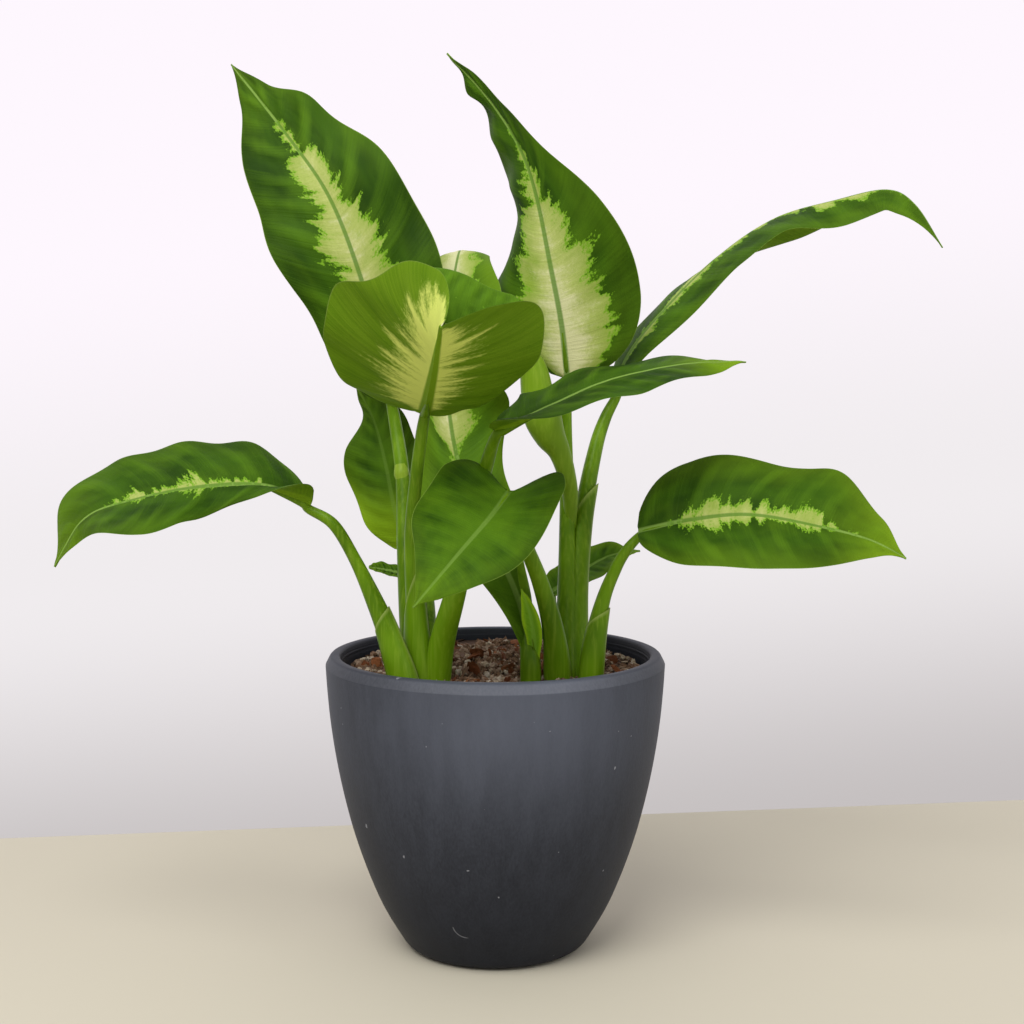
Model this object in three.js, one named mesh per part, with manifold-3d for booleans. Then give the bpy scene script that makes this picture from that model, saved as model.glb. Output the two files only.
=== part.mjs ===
// Potted dieffenbachia: a dark planter, potting mix and a clump of young canes.
// Millimetres, +Z up. The origin is the middle of the pot's underside, +X is to the right of the
// plant as it is shown to a viewer, and the viewer stands on the -Y side.

import * as THREE from "three";
import { mergeVertices } from "three/addons/utils/BufferGeometryUtils.js";
import Module from "manifold-3d";

const wasm = await Module();
wasm.setup();

// Pot: outer and inner wall, from the underside to the rim

const POT_HEIGHT = 144;
const POT_TOP_RADIUS = 82.5;
const RIM_INNER_RADIUS = 75.2;
const RIM_DROP = 3;
const FLOOR_THICKNESS = 6;
const POT_SIDES = 40;
const OUTER_WALL = [
  [40, 0],
  [43.4, 1.2],
  [46.6, 5],
  [55.6, 20],
  [62.3, 36],
  [68.6, 54],
  [73.4, 72],
  [77.4, 91],
  [80.4, 111],
  [POT_TOP_RADIUS, POT_HEIGHT - RIM_DROP],
];
const RIM_CREST = [
  [81.9, 142.8],
  [80.2, POT_HEIGHT],
  [77.4, POT_HEIGHT],
  [RIM_INNER_RADIUS, 142.4],
];
const INNER_WALL = [
  [74.4, 138],
  [73.8, 124],
  [70.0, 91],
  [66.2, 72],
  [55.4, 36],
  [48.6, 20],
  [42, FLOOR_THICKNESS + 3],
  [38, FLOOR_THICKNESS],
];

// Soil: its level near the viewer and at the back, and the roughness of its top

const SOIL_FRONT_LEVEL = 131.5;
const SOIL_BACK_LEVEL = 137;
const SOIL_MOUND = 1.6;
const SOIL_ROUGHNESS = 1.1;
const SOIL_RINGS = 6;
const SOIL_SIDES = 28;
const SOIL_EDGE_DEPTH = 4;
const SMALL_LUMPS = 0.2;
const WIDE_LUMPS = 0.09;
const LUMPS_SHIFT = 1.3;
const SLANTED_SHARE = 0.6;
const CLEARANCE = 0.3;
const HOLE_CLEARANCE = 0.4;
const STALK_FOOT = 102;

// Blades: thickness, the rows and columns that carry their waves, and the shape of base and tip

const BLADE_THICKNESS = 0.8;
const LARGE_BLADE = { rows: 14, columns: 4 };
const SMALL_BLADE = { rows: 9, columns: 3 };
const BASE_HALF_WIDTH = 3;
const LEAST_HALF_WIDTH = 0.4;
const BASE_ROUNDING = 0.14;
const BASE_CROWDING = 0.5;
const LOBE_ROUNDING = 0.07;
const DRIP_START = 0.84;
const DRIP_DEPTH = 0.5;

// Veins leave the midrib and bend towards the tip. The margin's wave fades out at base and tip,
// and it also pushes the margin out and in by a share of its height.

const VEIN_BEND = 1.6;
const SWEEP_SKEW = 0.75;
const RUFFLE = 0.6;
const WAVE_RISE = 1 / 6;
const WAVE_FALL = 1 / 5;
const LEAST_CURL = 1e-4;

const POT_COLOUR = 0x45484c;
const SOIL_COLOUR = 0x53402f;
const LEAF_COLOUR = 0x3f6a26;
const POT_ROUGHNESS = 0.6;
const STALK_ROUGHNESS = 0.5;
const LEAF_ROUGHNESS = 0.45;
const SOIL_ROUGHNESS_SHADE = 0.95;
const STALK_COLOUR = 0x56761e;

// The part of the centre leaf that turns back behind its notch and shows its upper face.

const TURNED_OVER = {
  grid: SMALL_BLADE,
  midrib: [
    [-47, -100, 316], [-38, -103, 317], [-24, -106, 313.5],
    [-8, -104, 307.5], [6, -102, 304], [17, -102.5, 303],
  ],
  upperSide: [[0, -1, 0.3], [0, -1, 0.3]],
  left: {
    widths: [4, 9, 12.5, 13, 11.5, 10.5, 7],
    lobe: 0,
    fold: [0, 0],
    curl: [-20, -30, -10],
    wave: [0.8, 2, 0],
  },
  right: {
    widths: [2, 5, 12, 11, 7, 5, 4],
    lobe: 0,
    fold: [0, 0],
    curl: [0, 0],
    wave: [0, 2, 1],
  },
  reach: 0,
};

// Each blade follows a midrib. Its half widths run from the stalk to the tip in equal steps, and
// fold and curl, in degrees, turn each half towards the upper side (positive) or away from it.
// A wave is a height in mm, a number of waves along the margin and a phase.

const LEAVES = [
  {
    name: "leaf_upper_left",
    grid: LARGE_BLADE,
    midrib: [
      [-52, 10, 268], [-56, 2, 293], [-65, -2, 328],
      [-79.5, 2, 364], [-100.5, 14, 394], [-131, 36, 432],
    ],
    upperSide: [[-0.2, -1, 0.25], [-0.15, -1, 0.2], [-0.1, -1, 0.1]],
    left: {
      widths: [20, 29, 36, 33, 22, 10, 0.5],
      lobe: 6,
      fold: [18, 10, 4],
      curl: [-14, -12, -4],
      wave: [1.5, 3, 0.3],
    },
    right: {
      widths: [28, 38, 37, 28, 20, 9, 0.5],
      lobe: 8,
      fold: [14, 8, 4],
      curl: [-18, -16, -6],
      wave: [2, 4, 1.2],
    },
    reach: 0.13,
  },
  {
    name: "leaf_upper_centre",
    grid: LARGE_BLADE,
    midrib: [
      [35, 12, 278], [32, 6, 303], [27, 4, 329], [19, 8, 368],
      [10, 14, 392], [-5, 22, 415], [-24, 30, 436],
    ],
    upperSide: [[0.1, -1, 0.1], [0, -1, 0.1], [-0.2, -1, 0.1], [-0.5, -0.8, 0.1], [-0.7, -0.6, 0]],
    left: {
      widths: [20, 42, 29, 24, 12, 5, 0.5],
      lobe: 2,
      fold: [5, 0, -10, -5, 0],
      curl: [-50, -75, -95, -45, 0],
      wave: [3, 6, 0],
    },
    right: {
      widths: [36, 41, 30, 12, 6, 5, 0.5],
      lobe: 8,
      fold: [8, 8, 14, 26, 30, 30],
      curl: [-10, -10, -10, 0, 0],
      wave: [1.2, 3, 1],
    },
    reach: 0.13,
  },
  {
    name: "leaf_centre",
    grid: LARGE_BLADE,
    midrib: [[-32, -40, 262], [-29, -66, 269], [-25, -95, 281], [-22, -122, 291], [-20, -145, 298]],
    upperSide: [[0, 0.5, 0.9], [0, 0.5, 0.9], [0, 0.5, 0.9]],
    left: {
      widths: [10, 24, 40, 48, 45, 29, 0.5],
      lobe: 4,
      fold: [-15, 0, 10, 26, 42],
      curl: [0, 0],
      wave: [1.8, 3, 0],
    },
    right: {
      widths: [24, 44, 55, 52, 39, 31, 9],
      lobe: 6,
      fold: [8, 20, 36, 60, 118],
      curl: [0, 0],
      wave: [1.6, 4, 1],
    },
    reach: 0.1,
  },
  {
    name: "leaf_centre_back",
    grid: { rows: 17, columns: 4 },
    midrib: [
      [17, -26, 147], [12, -22, 170], [2, -13, 193], [-14, -2, 224], [-22, 8, 257],
      [-23, 12, 291], [-21, 16, 320], [-18, 32, 340], [-16, 62, 337],
    ],
    upperSide: [[-0.3, -1, 0.3], [0, -1, 0.1], [0, -1, 0.1], [0, -1, 0.3], [0, -0.8, 0.8], [0, -0.3, 1]],
    left: {
      widths: [5, 15, 25, 17, 15, 22, 22, 14, 1],
      lobe: 0,
      fold: [30, 10, -20, -20, -20],
      curl: [0, 0],
      wave: [2, 4, 0],
    },
    right: {
      widths: [7, 18, 19, 26, 30, 31, 20, 15, 1],
      lobe: 0,
      fold: [20, -30, 0, 5, 5, 60, 20, 0, 0],
      curl: [60, 195, 60, 0, 0, 0, 0, 0, 0],
      wave: [3, 4, 1],
    },
    reach: 0.08,
  },
  {
    name: "leaf_heart",
    grid: LARGE_BLADE,
    midrib: [[7, -62, 227], [-1.5, -80, 217], [-14, -98, 204], [-25, -110, 192], [-33, -116, 183]],
    upperSide: [[-0.1, -0.8, 0.7], [-0.1, -0.9, 0.5], [0, -1, 0.3]],
    left: {
      widths: [20, 25, 26, 23, 15, 7, 0.5],
      lobe: 33,
      fold: [20, 12, 8],
      curl: [-20, -20, -10],
      wave: [0.6, 2, 0],
    },
    right: {
      widths: [33, 33, 31, 26, 16, 7, 0.5],
      lobe: 20,
      fold: [20, 12, 8],
      curl: [-20, -20, -10],
      wave: [0.6, 2, 1],
    },
    reach: 0.1,
  },
  {
    name: "leaf_centre_right",
    grid: LARGE_BLADE,
    midrib: [
      [1, -58, 254], [14, -62, 260], [29, -61, 267], [47, -58, 275],
      [65, -54, 280], [88, -50, 284], [114, -46, 285],
    ],
    upperSide: [[-0.1, -0.3, 1], [-0.1, -0.28, 1], [0, -0.25, 1]],
    left: {
      widths: [22, 25, 27, 24, 16, 8, 0.5],
      lobe: 6,
      fold: [20, 5, 2, 2],
      curl: [-10, -10],
      wave: [1.2, 3, 0],
    },
    right: {
      widths: [20, 23, 24, 20, 15, 9, 0.5],
      lobe: 4,
      fold: [40, 14, 4, -4, -10],
      curl: [-15, -10],
      wave: [1.5, 3, 1],
    },
    reach: 0.12,
  },
  {
    name: "leaf_long_right",
    grid: { rows: 17, columns: 4 },
    midrib: [
      [58, 30, 270], [67, 31, 290], [83, 32, 310], [111, 32, 338], [138, 28, 356],
      [166, 20, 364], [189, 10, 368], [201, 2, 360], [212, -8, 339],
    ],
    upperSide: [
      [-0.5, -0.25, 0.8], [-0.5, -0.25, 0.8], [-0.4, -0.25, 0.9], [-0.2, -0.3, 1],
      [0, -0.3, 1], [0.4, -0.3, 0.9], [0.8, -0.3, 0.5],
    ],
    left: {
      widths: [12, 20, 24, 24, 18, 9, 0.5],
      lobe: 4,
      fold: [0, 0, -3, -30, -42, -34, -40, -40],
      curl: [-10, -10],
      wave: [1, 3, 0],
    },
    right: {
      widths: [10, 18, 23, 24, 20, 12, 0.5],
      lobe: 4,
      fold: [-10, -10, -12, -5, 0, -32, -40, -40],
      curl: [-10, -10],
      wave: [1, 3, 1],
    },
    reach: 0.06,
  },
  {
    name: "leaf_right",
    grid: LARGE_BLADE,
    midrib: [
      [67, -30, 206], [90, -38, 212], [117, -44, 215], [148, -48, 210],
      [171, -50, 204], [187, -52, 196],
    ],
    upperSide: [[-0.1, -0.8, 0.7], [0, -0.8, 0.7], [0.1, -0.8, 0.7]],
    left: {
      widths: [26, 33, 30, 31, 30, 15, 0.5],
      lobe: 1,
      fold: [20, 15, 10],
      curl: [-20, -20, -10],
      wave: [1.2, 3, 1],
    },
    right: {
      widths: [20, 30, 33, 29, 21, 10, 0.5],
      lobe: 1,
      fold: [20, 15, 10],
      curl: [-15, -15, -10],
      wave: [1.2, 3, 2.5],
    },
    reach: 0.1,
  },
  {
    name: "leaf_left",
    grid: LARGE_BLADE,
    midrib: [
      [-86, -30, 219], [-106, -38, 228], [-134, -44, 228], [-165, -50, 222],
      [-185, -54, 214], [-198, -58, 193],
    ],
    upperSide: [[0.2, -0.4, 1], [0, -0.4, 1], [-0.3, -0.45, 0.9], [-0.6, -0.4, 0.6]],
    left: {
      widths: [18, 11, 21, 30, 23, 10, 0.5],
      lobe: 0,
      fold: [95, 25, -25, 0, 4, 4, 4],
      curl: [-10, -20, -10],
      wave: [1.5, 3, 0.5],
    },
    right: {
      widths: [20, 30, 33, 31, 28, 15, 0.5],
      lobe: 0,
      fold: [20, 20, 15],
      curl: [-10, -10],
      wave: [1.1, 5, 1],
    },
    reach: 0.12,
  },
  {
    name: "leaf_left_middle",
    grid: LARGE_BLADE,
    midrib: [[-46, 34, 191], [-51, 32, 211], [-56, 34, 236], [-62, 40, 256], [-72, 50, 274]],
    upperSide: [[-0.3, -1, 0.1], [-0.3, -1, 0.1]],
    left: {
      widths: [10, 18, 22, 17, 8, 4, 0.5],
      lobe: 1,
      fold: [10, 10],
      curl: [0, 0],
      wave: [2, 2, 0],
    },
    right: {
      widths: [12, 16, 19, 18, 14, 7, 0.5],
      lobe: 1,
      fold: [10, 10],
      curl: [-20, -20],
      wave: [1.5, 3, 1],
    },
    reach: 0.12,
  },
  {
    name: "leaf_low_right",
    grid: SMALL_BLADE,
    midrib: [[28, 30, 169], [43, 34, 179], [58, 36, 187], [73, 34, 190]],
    upperSide: [[0, -0.5, 1], [0, -0.5, 1]],
    left: {
      widths: [10, 12, 14, 12, 8, 4, 0.5],
      lobe: 2,
      fold: [15, 15],
      curl: [0, 0],
      wave: [0.8, 3, 0],
    },
    right: {
      widths: [8, 12, 15, 14, 10, 5, 0.5],
      lobe: 2,
      fold: [15, 10],
      curl: [0, 0],
      wave: [0.8, 3, 1],
    },
    reach: 0.1,
  },
  {
    name: "leaf_small_left",
    grid: SMALL_BLADE,
    midrib: [[-41, 12, 179], [-50, 10, 182], [-62, 6, 185]],
    upperSide: [[0, -0.6, 1], [0, -0.6, 1]],
    left: {
      widths: [4, 5, 6, 6, 5, 4, 2],
      lobe: 1,
      fold: [15, 15],
      curl: [0, 0],
      wave: [0.3, 3, 0],
    },
    right: {
      widths: [3, 4, 5, 5, 5, 4, 2],
      lobe: 1,
      fold: [15, 10],
      curl: [0, 0],
      wave: [0.3, 3, 1],
    },
    reach: 0.1,
  },
];

// Stalks: a path from the soil to just under the leaf and the radius at each point of it. The
// last stalk of the right crown is the rolled sheath that stands beside the others.

const CLUMPS = [
  {
    name: "left_crown",
    stalks: [
      {
        path: [
          [-37, -18, 133], [-40, -14, 162], [-43.5, -6, 197],
          [-45, 4, 228], [-48.8, 13.5, 252], [-51.5, 15, 266.5],
        ],
        radii: [7, 6, 4, 3.6, 3.2, 2.6],
      },
      {
        path: [
          [-36, -24, 134], [-37, -24, 163], [-39, -28, 202],
          [-36.5, -34, 230], [-33.5, -38.5, 251], [-32, -40.7, 259.9],
        ],
        radii: [7, 5, 3.4, 3, 2.8, 2.4],
      },
      {
        path: [
          [-28, -24, 134], [-24.5, -28, 155], [-18, -36, 179],
          [-10, -42, 213], [-3, -50, 240], [1.1, -57.7, 252],
        ],
        radii: [7, 6, 5, 3.8, 3.1, 2.4],
      },
      {
        path: [[-33, -16, 134], [-32, 6, 152], [-34, 24, 170], [-40, 36, 183], [-45.3, 36.4, 190.6]],
        radii: [5, 3, 2.4, 2.2, 1.8],
      },
      {
        path: [[-38, -11, 148], [-39, 4, 162], [-41.2, 13.2, 177]],
        radii: [3, 1.8, 1.3],
      },
    ],
  },
  {
    name: "right_crown",
    stalks: [
      {
        path: [[33.4, -16, 131], [34.6, -5, 175], [35, 7, 218], [34.6, 15.6, 253], [35, 17, 276.5]],
        radii: [6, 4.6, 3.6, 3, 2.4],
      },
      {
        path: [
          [38.5, -12, 133], [39.8, -1.4, 176], [43.5, 12, 213],
          [49.5, 22, 242], [54.6, 28, 257], [60.6, 31, 268.6],
        ],
        radii: [6, 5, 4.4, 3.6, 3, 2.3],
      },
      {
        path: [
          [30, -24, 134], [27.5, -28, 159], [21.5, -34, 182],
          [13.6, -44, 203], [9, -55, 217], [6.6, -60.8, 223.7],
        ],
        radii: [7, 5.2, 4, 3.3, 2.8, 2.3],
      },
      {
        path: [[31, -9, 135.5], [30.4, 12, 149], [28.8, 31, 166.8]],
        radii: [4, 2.6, 1.6],
      },
      {
        path: [
          [36.5, 5, 205], [36.4, 2, 220], [34.4, -1, 231], [30.8, -3, 242], [26.2, -4, 250],
          [22.6, -5, 259], [20.4, -5, 269], [18, -5, 282], [13, -5, 291],
        ],
        radii: [3, 3.8, 4.4, 5.4, 7.6, 9, 8, 6.6, 4.6],
      },
    ],
  },
  {
    name: "right_stalk",
    stalks: [
      {
        path: [
          [45, -30, 134], [47, -30, 155], [51, -28, 174],
          [57, -28, 189], [62, -28, 197.4], [68, -28, 204],
        ],
        radii: [5.6, 5, 3.4, 2.8, 2.5, 2],
      },
    ],
  },
  {
    name: "left_stalk",
    stalks: [
      {
        path: [
          [-42, -36, 134], [-48.5, -36, 156], [-55.5, -34, 173],
          [-65, -32, 193], [-75, -31, 209.4], [-86.5, -29.2, 216.4],
        ],
        radii: [7, 5.4, 4.2, 2.9, 2.7, 2.2],
      },
    ],
  },
  {
    name: "centre_shoot",
    stalks: [
      {
        path: [[17, -26, 132], [17, -26, 146.2]],
        radii: [5, 4],
      },
    ],
  },
];
const STALK_SIDES = 8;
const STALK_STEP = 14;
const STALK_BELOW = 140;
const FOOT_TAPER = 0.8;
const FOOT_SPREAD = 70;

// Curves and lists

const TANGENT_STEP = 0.01;
const SAME_POINT = 1e-4;

const clamp = (v, low, high) => Math.min(Math.max(v, low), high);

// The value of an evenly spaced list at s from 0 to 1, smoothed like a drawn curve.
function along(list, s) {
  const n = list.length - 1;
  const t = clamp(s, 0, 1) * n;
  const i = Math.min(Math.floor(t), n - 1);
  const u = t - i;
  const at = (k) => (k < 0 ? 2 * list[0] - list[1] : k > n ? 2 * list[n] - list[n - 1] : list[k]);
  const [a, b, c, d] = [at(i - 1), at(i), at(i + 1), at(i + 2)];
  return b + 0.5 * u * (c - a + u * (2 * a - 5 * b + 4 * c - d + u * (3 * (b - c) + d - a)));
}

// A midrib that goes on straight beyond its ends; y is the distance from the stalk.
class Midrib {
  constructor(points) {
    this.curve = new THREE.CatmullRomCurve3(points.map((p) => new THREE.Vector3(...p)));
    this.curve.curveType = "catmullrom";
    this.length = this.curve.getLength();
  }
  point(y) {
    const s = clamp(y / this.length, 0, 1);
    const beyond = y - s * this.length;
    return this.curve.getPointAt(s).addScaledVector(this.tangent(y), beyond);
  }
  tangent(y) {
    const s = clamp(y / this.length, 0, 1);
    const after = this.curve.getPointAt(Math.min(s + TANGENT_STEP, 1));
    const before = this.curve.getPointAt(Math.max(s - TANGENT_STEP, 0));
    return after.sub(before).normalize();
  }
}

// Solids

function solidOf(geometry) {
  const bare = new THREE.BufferGeometry();
  bare.setAttribute("position", geometry.getAttribute("position"));
  bare.setIndex(geometry.getIndex());
  const merged = mergeVertices(bare, SAME_POINT);
  const vertProperties = merged.attributes.position.array;
  const triVerts = new Uint32Array(merged.index.array);
  return new wasm.Manifold(new wasm.Mesh({ numProp: 3, vertProperties, triVerts }));
}

function indexed(points, triangles) {
  const geometry = new THREE.BufferGeometry();
  geometry.setFromPoints(points);
  geometry.setIndex(triangles.flat());
  return geometry;
}

function turnedSolid(profile, sides) {
  const points = profile.map(([r, z]) => new THREE.Vector2(r, z));
  return solidOf(new THREE.LatheGeometry(points, sides).rotateX(Math.PI / 2));
}

function join(solids) {
  return solids.reduce((whole, solid) => whole.add(solid));
}

function largestBody(solid) {
  return solid.decompose().reduce((a, b) => (a.volume() > b.volume() ? a : b));
}

function meshOf(name, solid, color, roughness) {
  const { numProp, vertProperties, triVerts } = solid.getMesh();
  const points = [];
  for (let i = 0; i < vertProperties.length; i += numProp) {
    points.push(new THREE.Vector3().fromArray(vertProperties, i));
  }
  const geometry = indexed(points, [...triVerts]);
  geometry.computeVertexNormals();
  const mesh = new THREE.Mesh(geometry, new THREE.MeshStandardMaterial({ color, roughness }));
  mesh.name = name;
  return mesh;
}

// The half width of one half of a blade at s: a rounded base, a narrow drip tip and a ruffle.
function halfWidth(side, s) {
  const beforeFull = 1 - clamp(s / BASE_ROUNDING, 0, 1);
  const rise = Math.sqrt(1 - beforeFull * beforeFull);
  const drip = 1 - DRIP_DEPTH * THREE.MathUtils.smoothstep(s, DRIP_START, 1);
  const full = Math.max(along(side.widths, s) * drip, LEAST_HALF_WIDTH);
  const start = Math.min(BASE_HALF_WIDTH, full);
  const [height, count, phase] = side.wave;
  const ruffle = RUFFLE * height * Math.cos(2 * Math.PI * count * s + phase) * waveShare(s);
  return start + (full - start) * rise + ruffle;
}

// How much of the margin's wave is left at s: none at the base and the tip.
function waveShare(s) {
  const rise = THREE.MathUtils.smoothstep(s, 0, WAVE_RISE);
  return rise * THREE.MathUtils.smoothstep(1 - s, 0, WAVE_FALL);
}

// One point of a blade. s is the vein's place from stalk (0) to tip (1) and a the place from the
// left margin (-1) over the midrib (0) to the right one (1).
function bladePoint(leaf, midrib, s, a) {
  const side = a < 0 ? leaf.left : leaf.right;
  const out = Math.abs(a);
  const margin = halfWidth(side, s);
  const sweep = leaf.reach * midrib.length * Math.sin(Math.PI * s ** SWEEP_SKEW);
  const beforeLobe = 1 - clamp(s / LOBE_ROUNDING, 0, 1);
  const lobe = side.lobe * (1 - s) ** 3 * Math.sqrt(1 - beforeLobe * beforeLobe);
  const y = s * midrib.length + (sweep - lobe) * out ** VEIN_BEND;
  const place = clamp(y / midrib.length, 0, 1);
  const forward = midrib.tangent(y);
  const [upX, upY, upZ] = [0, 1, 2].map((k) => along(leaf.upperSide.map((n) => n[k]), place));
  const up = new THREE.Vector3(upX, upY, upZ);
  up.addScaledVector(forward, -up.dot(forward)).normalize();
  const across = new THREE.Vector3().crossVectors(forward, up);
  const fold = THREE.MathUtils.degToRad(along(side.fold, place));
  const curl = THREE.MathUtils.degToRad(along(side.curl, place)) || LEAST_CURL;
  const turned = fold + curl * out;
  const sideways = (margin * (Math.sin(turned) - Math.sin(fold))) / curl;
  const lifted = (margin * (Math.cos(fold) - Math.cos(turned))) / curl;
  const [height, count, phase] = side.wave;
  const wave = height * out * out * Math.sin(2 * Math.PI * count * place + phase) * waveShare(place);
  const point = midrib.point(y);
  point.addScaledVector(across, Math.sign(a) * sideways);
  point.addScaledVector(up, lifted + wave);
  return point;
}

// A blade as a closed sheet: two faces cut into the same triangles and a strip round the margin.
function bladeSolid(leaf) {
  const midrib = new Midrib(leaf.midrib);
  const { rows, columns } = leaf.grid;
  const width = 2 * columns + 1;
  const half = BLADE_THICKNESS / 2;
  const place = (i, j) => {
    const t = i / rows;
    const s = t - (BASE_CROWDING * Math.sin(Math.PI * t)) / Math.PI;
    return bladePoint(leaf, midrib, s, j / columns - 1);
  };
  const middle = [];
  for (let i = 0; i <= rows; i++) {
    for (let j = 0; j < width; j++) middle.push(place(i, j));
  }
  const at = (i, j) => middle[clamp(i, 0, rows) * width + clamp(j, 0, width - 1)];
  const upper = [];
  const lower = [];
  for (let i = 0; i <= rows; i++) {
    for (let j = 0; j < width; j++) {
      const lengthwise = at(i + 1, j).clone().sub(at(i - 1, j));
      const across = at(i, j + 1).clone().sub(at(i, j - 1));
      const normal = across.cross(lengthwise).normalize();
      upper.push(at(i, j).clone().addScaledVector(normal, half));
      lower.push(at(i, j).clone().addScaledVector(normal, -half));
    }
  }
  const count = upper.length;
  const triangles = [];
  for (let i = 0; i < rows; i++) {
    for (let j = 0; j < width - 1; j++) {
      const [p, q] = [i * width + j, i * width + j + 1];
      const [r, t] = [q + width, p + width];
      const leftHalf = j < columns;
      const halves = leftHalf ? [[p, q, t], [q, r, t]] : [[p, q, r], [p, r, t]];
      halves.forEach(([x, y, z]) => {
        triangles.push([x, y, z]);
        triangles.push([x + count, z + count, y + count]);
      });
    }
  }
  const rim = [];
  for (let j = 0; j < width - 1; j++) rim.push(j);
  for (let i = 0; i < rows; i++) rim.push(i * width + width - 1);
  for (let j = width - 1; j > 0; j--) rim.push(rows * width + j);
  for (let i = rows; i > 0; i--) rim.push(i * width);
  rim.forEach((p, k) => {
    const q = rim[(k + 1) % rim.length];
    triangles.push([p, p + count, q + count], [p, q + count, q]);
  });
  return solidOf(indexed([...upper, ...lower], triangles));
}

// A stalk as a closed tube of changing radius along a drawn curve.
function stalkSolid({ path, radii }, grow) {
  const [footX, footY] = path[0];
  const foot = STALK_FOOT + (radii[0] * footX) / FOOT_SPREAD - grow;
  const points = path[0][2] > STALK_BELOW ? path : [[footX, footY, foot], ...path];
  const sizes = path[0][2] > STALK_BELOW ? radii : [radii[0] * FOOT_TAPER, ...radii];
  const curve = new THREE.CatmullRomCurve3(points.map((p) => new THREE.Vector3(...p)));
  curve.curveType = "catmullrom";
  const steps = Math.ceil(curve.getLength() / STALK_STEP);
  const frames = curve.computeFrenetFrames(steps, false);
  const rings = [];
  const triangles = [];
  for (let i = 0; i <= steps; i++) {
    const t = curve.getUtoTmapping(i / steps);
    const centre = curve.getPoint(t);
    const radius = along(sizes, t) + grow;
    for (let k = 0; k < STALK_SIDES; k++) {
      const angle = (2 * Math.PI * k) / STALK_SIDES;
      const point = centre.clone().addScaledVector(frames.normals[i], radius * Math.cos(angle));
      rings.push(point.addScaledVector(frames.binormals[i], radius * Math.sin(angle)));
    }
  }
  for (let i = 0; i < steps; i++) {
    for (let k = 0; k < STALK_SIDES; k++) {
      const p = i * STALK_SIDES + k;
      const q = i * STALK_SIDES + ((k + 1) % STALK_SIDES);
      triangles.push([p, q, q + STALK_SIDES], [p, q + STALK_SIDES, p + STALK_SIDES]);
    }
  }
  const last = steps * STALK_SIDES;
  for (let k = 1; k < STALK_SIDES - 1; k++) {
    triangles.push([0, k + 1, k], [last, last + k, last + k + 1]);
  }
  return solidOf(indexed(rings, triangles));
}

// The height of the soil's top: higher at the back, a low mound in the middle and small lumps.
function soilLevel(x, y) {
  const slope = (y / RIM_INNER_RADIUS + 1) / 2;
  const level = SOIL_FRONT_LEVEL + (SOIL_BACK_LEVEL - SOIL_FRONT_LEVEL) * slope;
  const outward = Math.min(Math.hypot(x, y) / RIM_INNER_RADIUS, 1);
  const mound = SOIL_MOUND * Math.cos((Math.PI / 2) * outward);
  const crossed = Math.sin(x * SMALL_LUMPS + LUMPS_SHIFT) * Math.cos(y * SMALL_LUMPS);
  const slanted = SLANTED_SHARE * Math.sin(x * WIDE_LUMPS - y * SMALL_LUMPS);
  return level + mound + SOIL_ROUGHNESS * (crossed + slanted);
}

// The inner wall's radius at a height, less a distance from it.
function wallRadius(z, inset) {
  const i = INNER_WALL.findIndex(([, height]) => height <= z);
  const [r1, z1] = INNER_WALL[Math.max(i, 1)];
  const [r0, z0] = INNER_WALL[Math.max(i, 1) - 1];
  return r1 + ((r0 - r1) * (z - z1)) / (z0 - z1) - inset;
}

// Soil as a closed sheet of rings: the uneven top, the side along the wall and the flat bottom.
function soilSolid() {
  const inset = HOLE_CLEARANCE;
  const points = [new THREE.Vector3(0, 0, soilLevel(0, 0))];
  const ring = (radius, level) => {
    for (let k = 0; k < SOIL_SIDES; k++) {
      const angle = (2 * Math.PI * k) / SOIL_SIDES;
      const [x, y] = [radius * Math.cos(angle), radius * Math.sin(angle)];
      points.push(new THREE.Vector3(x, y, level(x, y)));
    }
  };
  const edge = wallRadius(SOIL_FRONT_LEVEL - SOIL_ROUGHNESS, inset);
  for (let i = 1; i <= SOIL_RINGS; i++) ring((edge * i) / SOIL_RINGS, soilLevel);
  const sides = INNER_WALL.filter(([, z]) => z < SOIL_FRONT_LEVEL - SOIL_EDGE_DEPTH);
  sides.forEach(([r, z], i) => ring(r - inset, () => (i === sides.length - 1 ? z + CLEARANCE : z)));
  const last = points.length;
  points.push(new THREE.Vector3(0, 0, FLOOR_THICKNESS + CLEARANCE));
  const rings = (last - 1) / SOIL_SIDES;
  const at = (i, k) => 1 + i * SOIL_SIDES + (k % SOIL_SIDES);
  const triangles = [];
  for (let k = 0; k < SOIL_SIDES; k++) {
    triangles.push([0, at(0, k), at(0, k + 1)]);
    triangles.push([last, at(rings - 1, k + 1), at(rings - 1, k)]);
    for (let i = 0; i < rings - 1; i++) {
      triangles.push([at(i, k), at(i + 1, k), at(i + 1, k + 1)]);
      triangles.push([at(i, k), at(i + 1, k + 1), at(i, k + 1)]);
    }
  }
  return solidOf(indexed(points, triangles));
}

// The plant

const plant = new THREE.Group();
plant.name = "potted_dieffenbachia";

const potProfile = [[0, 0], ...OUTER_WALL, ...RIM_CREST, ...INNER_WALL, [0, FLOOR_THICKNESS]];
plant.add(meshOf("pot", turnedSolid(potProfile, POT_SIDES), POT_COLOUR, POT_ROUGHNESS));

let soil = soilSolid();
for (const { name, stalks } of CLUMPS) {
  const clump = join(stalks.map((stalk) => stalkSolid(stalk, 0)));
  soil = soil.subtract(join(stalks.map((stalk) => stalkSolid(stalk, HOLE_CLEARANCE))));
  plant.add(meshOf(name, clump, STALK_COLOUR, STALK_ROUGHNESS));
}
plant.add(meshOf("soil", largestBody(soil), SOIL_COLOUR, SOIL_ROUGHNESS_SHADE));

for (const leaf of LEAVES) {
  const sheets = leaf.name === "leaf_centre" ? [leaf, TURNED_OVER] : [leaf];
  plant.add(meshOf(leaf.name, join(sheets.map(bladeSolid)), LEAF_COLOUR, LEAF_ROUGHNESS));
}

export default plant;
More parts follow.
